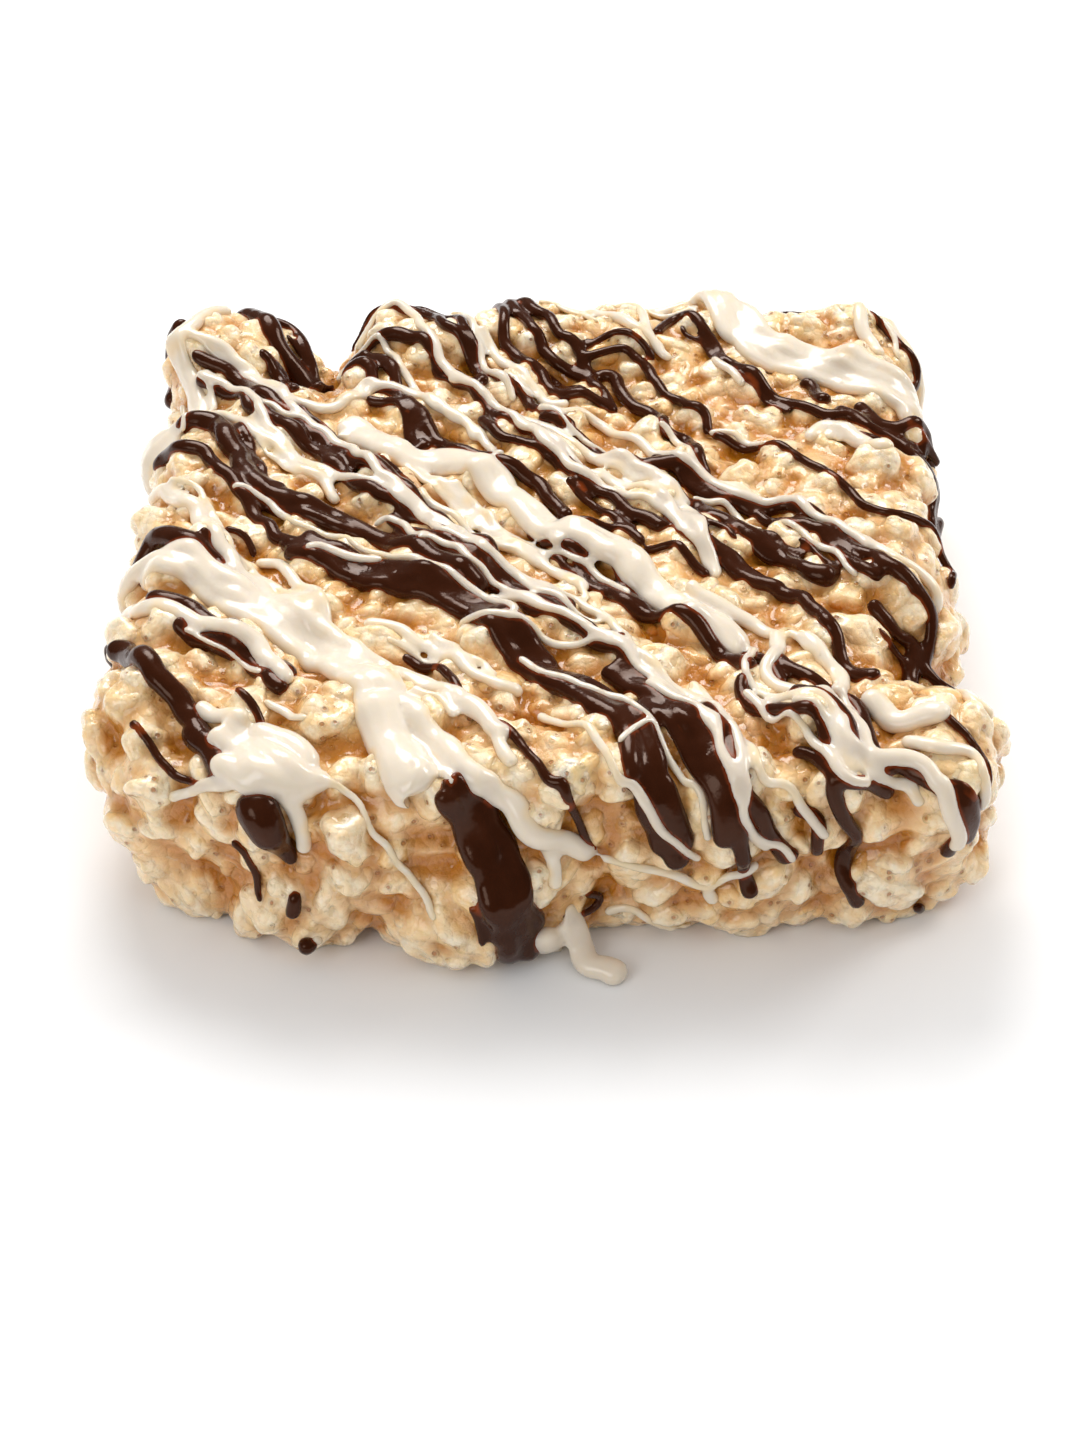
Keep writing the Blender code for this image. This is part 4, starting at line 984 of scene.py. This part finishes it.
def drapeTree():
    # Geometry Nodes: lets a line fall on what is under it, evens it out, and gives it its body
    form = strandForm
    tree, given = startTree("drapeStrands", objects=("Ground", "Under"), wholes=("Bridging",),
                            floats=(("Sink", 0.1), ("Flat", 0.8)))
    away = put(tree, 'GeometryNodeInputNamedAttribute', {"Name": "away"}, data_type='FLOAT_VECTOR').outputs[0]
    thickness = put(tree, 'GeometryNodeInputNamedAttribute', {"Name": "thickness"},
                    data_type='FLOAT').outputs[0]
    place = put(tree, 'GeometryNodeInputPosition').outputs[0]
    ground = put(tree, 'GeometryNodeObjectInfo', {"Object": given["Ground"]}, transform_space='RELATIVE')
    under = put(tree, 'GeometryNodeObjectInfo', {"Object": given["Under"]}, transform_space='RELATIVE')
    both = put(tree, 'GeometryNodeJoinGeometry')
    tree.links.new(ground.outputs["Geometry"], both.inputs[0])
    tree.links.new(under.outputs["Geometry"], both.inputs[0])
    reach = put(tree, 'ShaderNodeVectorMath', {0: away, "Scale": form["drop"]}, operation='SCALE')
    high = put(tree, 'ShaderNodeVectorMath', {0: place, 1: reach.outputs[0]}, operation='ADD')
    back = put(tree, 'ShaderNodeVectorMath', {0: away, "Scale": -1.0}, operation='SCALE')
    fall = put(tree, 'GeometryNodeRaycast', {
        "Target Geometry": both.outputs[0], "Source Position": high.outputs[0],
        "Ray Direction": back.outputs[0], "Ray Length": form["farthest"]})
    level = put(tree, 'ShaderNodeMath', {0: form["drop"], 1: fall.outputs["Hit Distance"]},
                operation='SUBTRACT')
    # a line that has run clear of the block stays where it is
    close = put(tree, 'ShaderNodeMath', {0: level.outputs[0], 1: form["lost"]}, operation='GREATER_THAN')
    held = put(tree, 'FunctionNodeBooleanMath', {0: fall.outputs["Is Hit"], 1: close.outputs[0]},
               operation='AND')
    level = put(tree, 'GeometryNodeSwitch', {"Switch": held.outputs[0], "False": 0.0,
                                             "True": level.outputs[0]}, input_type='FLOAT')
    kept = put(tree, 'GeometryNodeStoreNamedAttribute', {
        "Geometry": given["Geometry"], "Name": "level", "Value": level.outputs[0]}, data_type='FLOAT')
    raw = put(tree, 'GeometryNodeInputNamedAttribute', {"Name": "level"}, data_type='FLOAT').outputs[0]
    bridged = put(tree, 'GeometryNodeBlurAttribute', {"Value": raw, "Iterations": given["Bridging"]},
                  data_type='FLOAT')
    top = put(tree, 'ShaderNodeMath', {0: raw, 1: bridged.outputs[0]}, operation='MAXIMUM')
    even = put(tree, 'GeometryNodeBlurAttribute', {"Value": top.outputs[0], "Iterations": 2},
               data_type='FLOAT')
    sunk = put(tree, 'ShaderNodeMath', {0: thickness, 1: given["Sink"]}, operation='MULTIPLY')
    height = put(tree, 'ShaderNodeMath', {0: even.outputs[0], 1: sunk.outputs[0]}, operation='SUBTRACT')
    rise = put(tree, 'ShaderNodeVectorMath', {0: away, "Scale": height.outputs[0]}, operation='SCALE')
    laid = put(tree, 'GeometryNodeSetPosition', {"Geometry": kept.outputs[0], "Offset": rise.outputs[0]})
    line = put(tree, 'GeometryNodeMeshToCurve', {0: laid.outputs[0]})
    sized = put(tree, 'GeometryNodeSetCurveRadius', {0: line.outputs[0], "Radius": thickness})
    turned = put(tree, 'GeometryNodeSetCurveNormal', {0: sized.outputs[0], "Normal": away}, mode='FREE')
    ring = put(tree, 'GeometryNodeCurvePrimitiveCircle', {"Resolution": 10, "Radius": 1.0})
    squash = put(tree, 'ShaderNodeCombineXYZ', {0: given["Flat"], 1: 1.0, 2: 1.0})
    oval = put(tree, 'GeometryNodeTransform', {0: ring.outputs[0], "Scale": squash.outputs[0]})
    body = put(tree, 'GeometryNodeCurveToMesh', {
        "Curve": turned.outputs[0], "Profile Curve": oval.outputs[0], "Scale": thickness, "Fill Caps": True})
    return endTree(tree, body.outputs[0])


def proximityTree():
    # Geometry Nodes: marks each vertex from 1, near another piece, to 0, far from it
    tree, given = startTree("markNearness", objects=("Other",), texts=("Name",),
                            floats=(("Near", 0.0), ("Far", 1.0)))
    other = put(tree, 'GeometryNodeObjectInfo', {"Object": given["Other"]}, transform_space='RELATIVE')
    near = put(tree, 'GeometryNodeProximity', {0: other.outputs["Geometry"]}, target_element='FACES')
    share = put(tree, 'ShaderNodeMapRange', {
        0: near.outputs["Distance"], 1: given["Near"], 2: given["Far"], 3: 1.0, 4: 0.0})
    kept = put(tree, 'GeometryNodeStoreNamedAttribute', {
        "Geometry": given["Geometry"], "Name": given["Name"], "Value": share.outputs[0]}, data_type='FLOAT')
    return endTree(tree, kept.outputs[0])


def carryTree():
    # Geometry Nodes: copies a value from the nearest point of another piece
    tree, given = startTree("carryValue", objects=("Other",), texts=("Name",))
    other = put(tree, 'GeometryNodeObjectInfo', {"Object": given["Other"]}, transform_space='RELATIVE')
    there = put(tree, 'GeometryNodeInputNamedAttribute', {"Name": given["Name"]}, data_type='FLOAT')
    found = put(tree, 'GeometryNodeSampleNearestSurface', {
        "Mesh": other.outputs["Geometry"], "Value": there.outputs[0]}, data_type='FLOAT')
    kept = put(tree, 'GeometryNodeStoreNamedAttribute', {
        "Geometry": given["Geometry"], "Name": given["Name"], "Value": found.outputs[0]}, data_type='FLOAT')
    return endTree(tree, kept.outputs[0])


def makeDrizzle(name, plan, tree, marks, ground, under, *nearness):
    strands = layStrands(name + "_lines", plan)
    runTree(strands, tree, Ground=ground, Under=under, Bridging=plan["bridging"], Sink=plan["sink"],
            Flat=plan["flat"])
    strands = bake(strands, name + "_tubes")
    print(name, "tubes", len(strands.data.polygons), "faces")
    form = strandForm
    melt(strands, form["voxel"], form["grow"], form["fineVoxel"], form["shrink"], 3)
    strands = bake(strands, name)
    keepAbove(strands, 0.05)
    print(name, "flowed", len(strands.data.polygons), "faces")
    strands = thinTo(strands, form["triangles"])
    for other, label, close, far in nearness:
        runTree(strands, marks, Other=other, Name=label, Near=close, Far=far)
    return bake(strands, name)


# Camera, lights and ground

studio = {
    "cameraPlace": (0, -0.20546, 0.16591), "cameraTilt": 50, "lens": 58.6, "halfFloor": 4,
    # name, place, aim, size, watts
    "lamps": [
        ("backSoftbox", (-0.10, 0.55, 0.62), (0, 0.02, 0.01), 0.46, 4.8),
        ("sideSoftbox", (0.55, 0.25, 0.45), (0, 0, 0.01), 0.25, 1.6),
        ("frontFill", (-0.42, -0.52, 0.42), (0, 0, 0.01), 0.4, 1.35),
    ],
}


def setCamera():
    camera = bpy.data.objects.new("camera", bpy.data.cameras.new("camera"))
    bpy.context.scene.collection.objects.link(camera)
    camera.location = studio["cameraPlace"]
    camera.rotation_euler = (math.radians(studio["cameraTilt"]), 0, 0)
    camera.data.lens = studio["lens"]
    camera.data.sensor_width = 36
    camera.data.clip_start = 0.01
    bpy.context.scene.camera = camera


def setFloor():
    half = studio["halfFloor"]
    corners = [(-half, -half, 0), (half, -half, 0), (half, half, 0), (-half, half, 0)]
    floor = newObject("floor", newMesh("floor", corners, faces=[(0, 1, 2, 3)]))
    paper, tree = newMaterial("whitePaperSweep")
    shader = put(tree, 'ShaderNodeBsdfPrincipled', {"Base Color": rgb("#EEEEEE"), "Roughness": 0.9})
    # far from the treat the paper is seen as white as the background
    place = put(tree, 'ShaderNodeNewGeometry').outputs["Position"]
    far = put(tree, 'ShaderNodeVectorMath', {0: place}, operation='LENGTH')
    fade = put(tree, 'ShaderNodeMapRange', {0: far.outputs["Value"], 1: 0.25, 2: 0.6, 3: 0.0, 4: 1.0})
    rays = put(tree, 'ShaderNodeLightPath')
    seen = put(tree, 'ShaderNodeMath', {0: fade.outputs[0], 1: rays.outputs["Is Camera Ray"]},
               operation='MULTIPLY')
    bright = put(tree, 'ShaderNodeEmission', {0: rgb("#FDFDFD"), 1: 1.0})
    sweep = put(tree, 'ShaderNodeMixShader', {
        0: seen.outputs[0], 1: shader.outputs[0], 2: bright.outputs[0]})
    put(tree, 'ShaderNodeOutputMaterial', {0: sweep.outputs[0]})
    floor.data.materials.append(paper)


def setLight():
    world = bpy.data.worlds.new("studio")
    bpy.context.scene.world = world
    world.use_nodes = True
    tree = world.node_tree
    tree.nodes.clear()
    # bright above and behind, dim towards the camera's side, so that the chocolate keeps its depth
    way = put(tree, 'ShaderNodeTexCoord').outputs["Generated"]
    lean = put(tree, 'ShaderNodeVectorMath', {0: way, 1: (0.0, 0.55, 0.83)}, operation='DOT_PRODUCT')
    glow = put(tree, 'ShaderNodeMapRange', {0: lean.outputs["Value"], 1: -0.5, 2: 0.7, 3: 0.18, 4: 0.86},
               interpolation_type='SMOOTHSTEP')
    sky = put(tree, 'ShaderNodeBackground', {0: rgb("#FFFFFF"), 1: glow.outputs[0]})
    seen = put(tree, 'ShaderNodeBackground', {0: rgb("#FDFDFD"), 1: 1.0})
    # reflections see a dimmer room, with the softboxes bright in it
    rays = put(tree, 'ShaderNodeLightPath')
    room = put(tree, 'ShaderNodeBackground', {0: rgb("#FFF4E6"), 1: 0.16})
    lit = put(tree, 'ShaderNodeMixShader', {
        0: rays.outputs["Is Glossy Ray"], 1: sky.outputs[0], 2: room.outputs[0]})
    both = put(tree, 'ShaderNodeMixShader', {
        0: rays.outputs["Is Camera Ray"], 1: lit.outputs[0], 2: seen.outputs[0]})
    put(tree, 'ShaderNodeOutputWorld', {0: both.outputs[0]})

    for name, place, aim, size, watts in studio["lamps"]:
        lamp = bpy.data.lights.new(name, 'AREA')
        lamp.shape = 'DISK'
        lamp.size = size
        lamp.energy = watts
        holder = bpy.data.objects.new(name, lamp)
        holder.location = place
        holder.rotation_euler = (Vector(aim) - Vector(place)).to_track_quat('-Z', 'Y').to_euler()
        bpy.context.scene.collection.objects.link(holder)
    bpy.context.scene.view_settings.view_transform = 'Standard'


setCamera()
setFloor()
setLight()
film, looseGrains = makeRice()
blanket = makeBlanket(film, looseGrains)
drape = drapeTree()
marks = proximityTree()
allGrains = join("allGrains", *[copyOf(each) for each in (film, *looseGrains)])
dark = makeDrizzle("dark_chocolate_drizzle", darkDrizzle, drape, marks, blanket, blanket,
                   (allGrains, "thin", 0.0, 0.55))
white = makeDrizzle("white_chocolate_drizzle", whiteDrizzle, drape, marks, blanket, dark,
                    (allGrains, "thin", 0.05, 0.8), (dark, "overDark", 0.15, 1.0))
remove(blanket, allGrains)
carry = carryTree()
rice = puffedRice()
# the grains take the film's creases and hollows, which set their painted light and shade
for each in looseGrains:
    runTree(each, carry, Other=film, Name="crease")
    runTree(each, carry, Other=film, Name="hollow")
    finishPiece(bake(each, each.name), rice)
finishPiece(film, marshmallow())
runTree(dark, marks, Other=white, Name="underWhite", Near=0.05, Far=0.4)
finishPiece(bake(dark, dark.name), darkChocolate())
finishPiece(white, whiteChocolate())
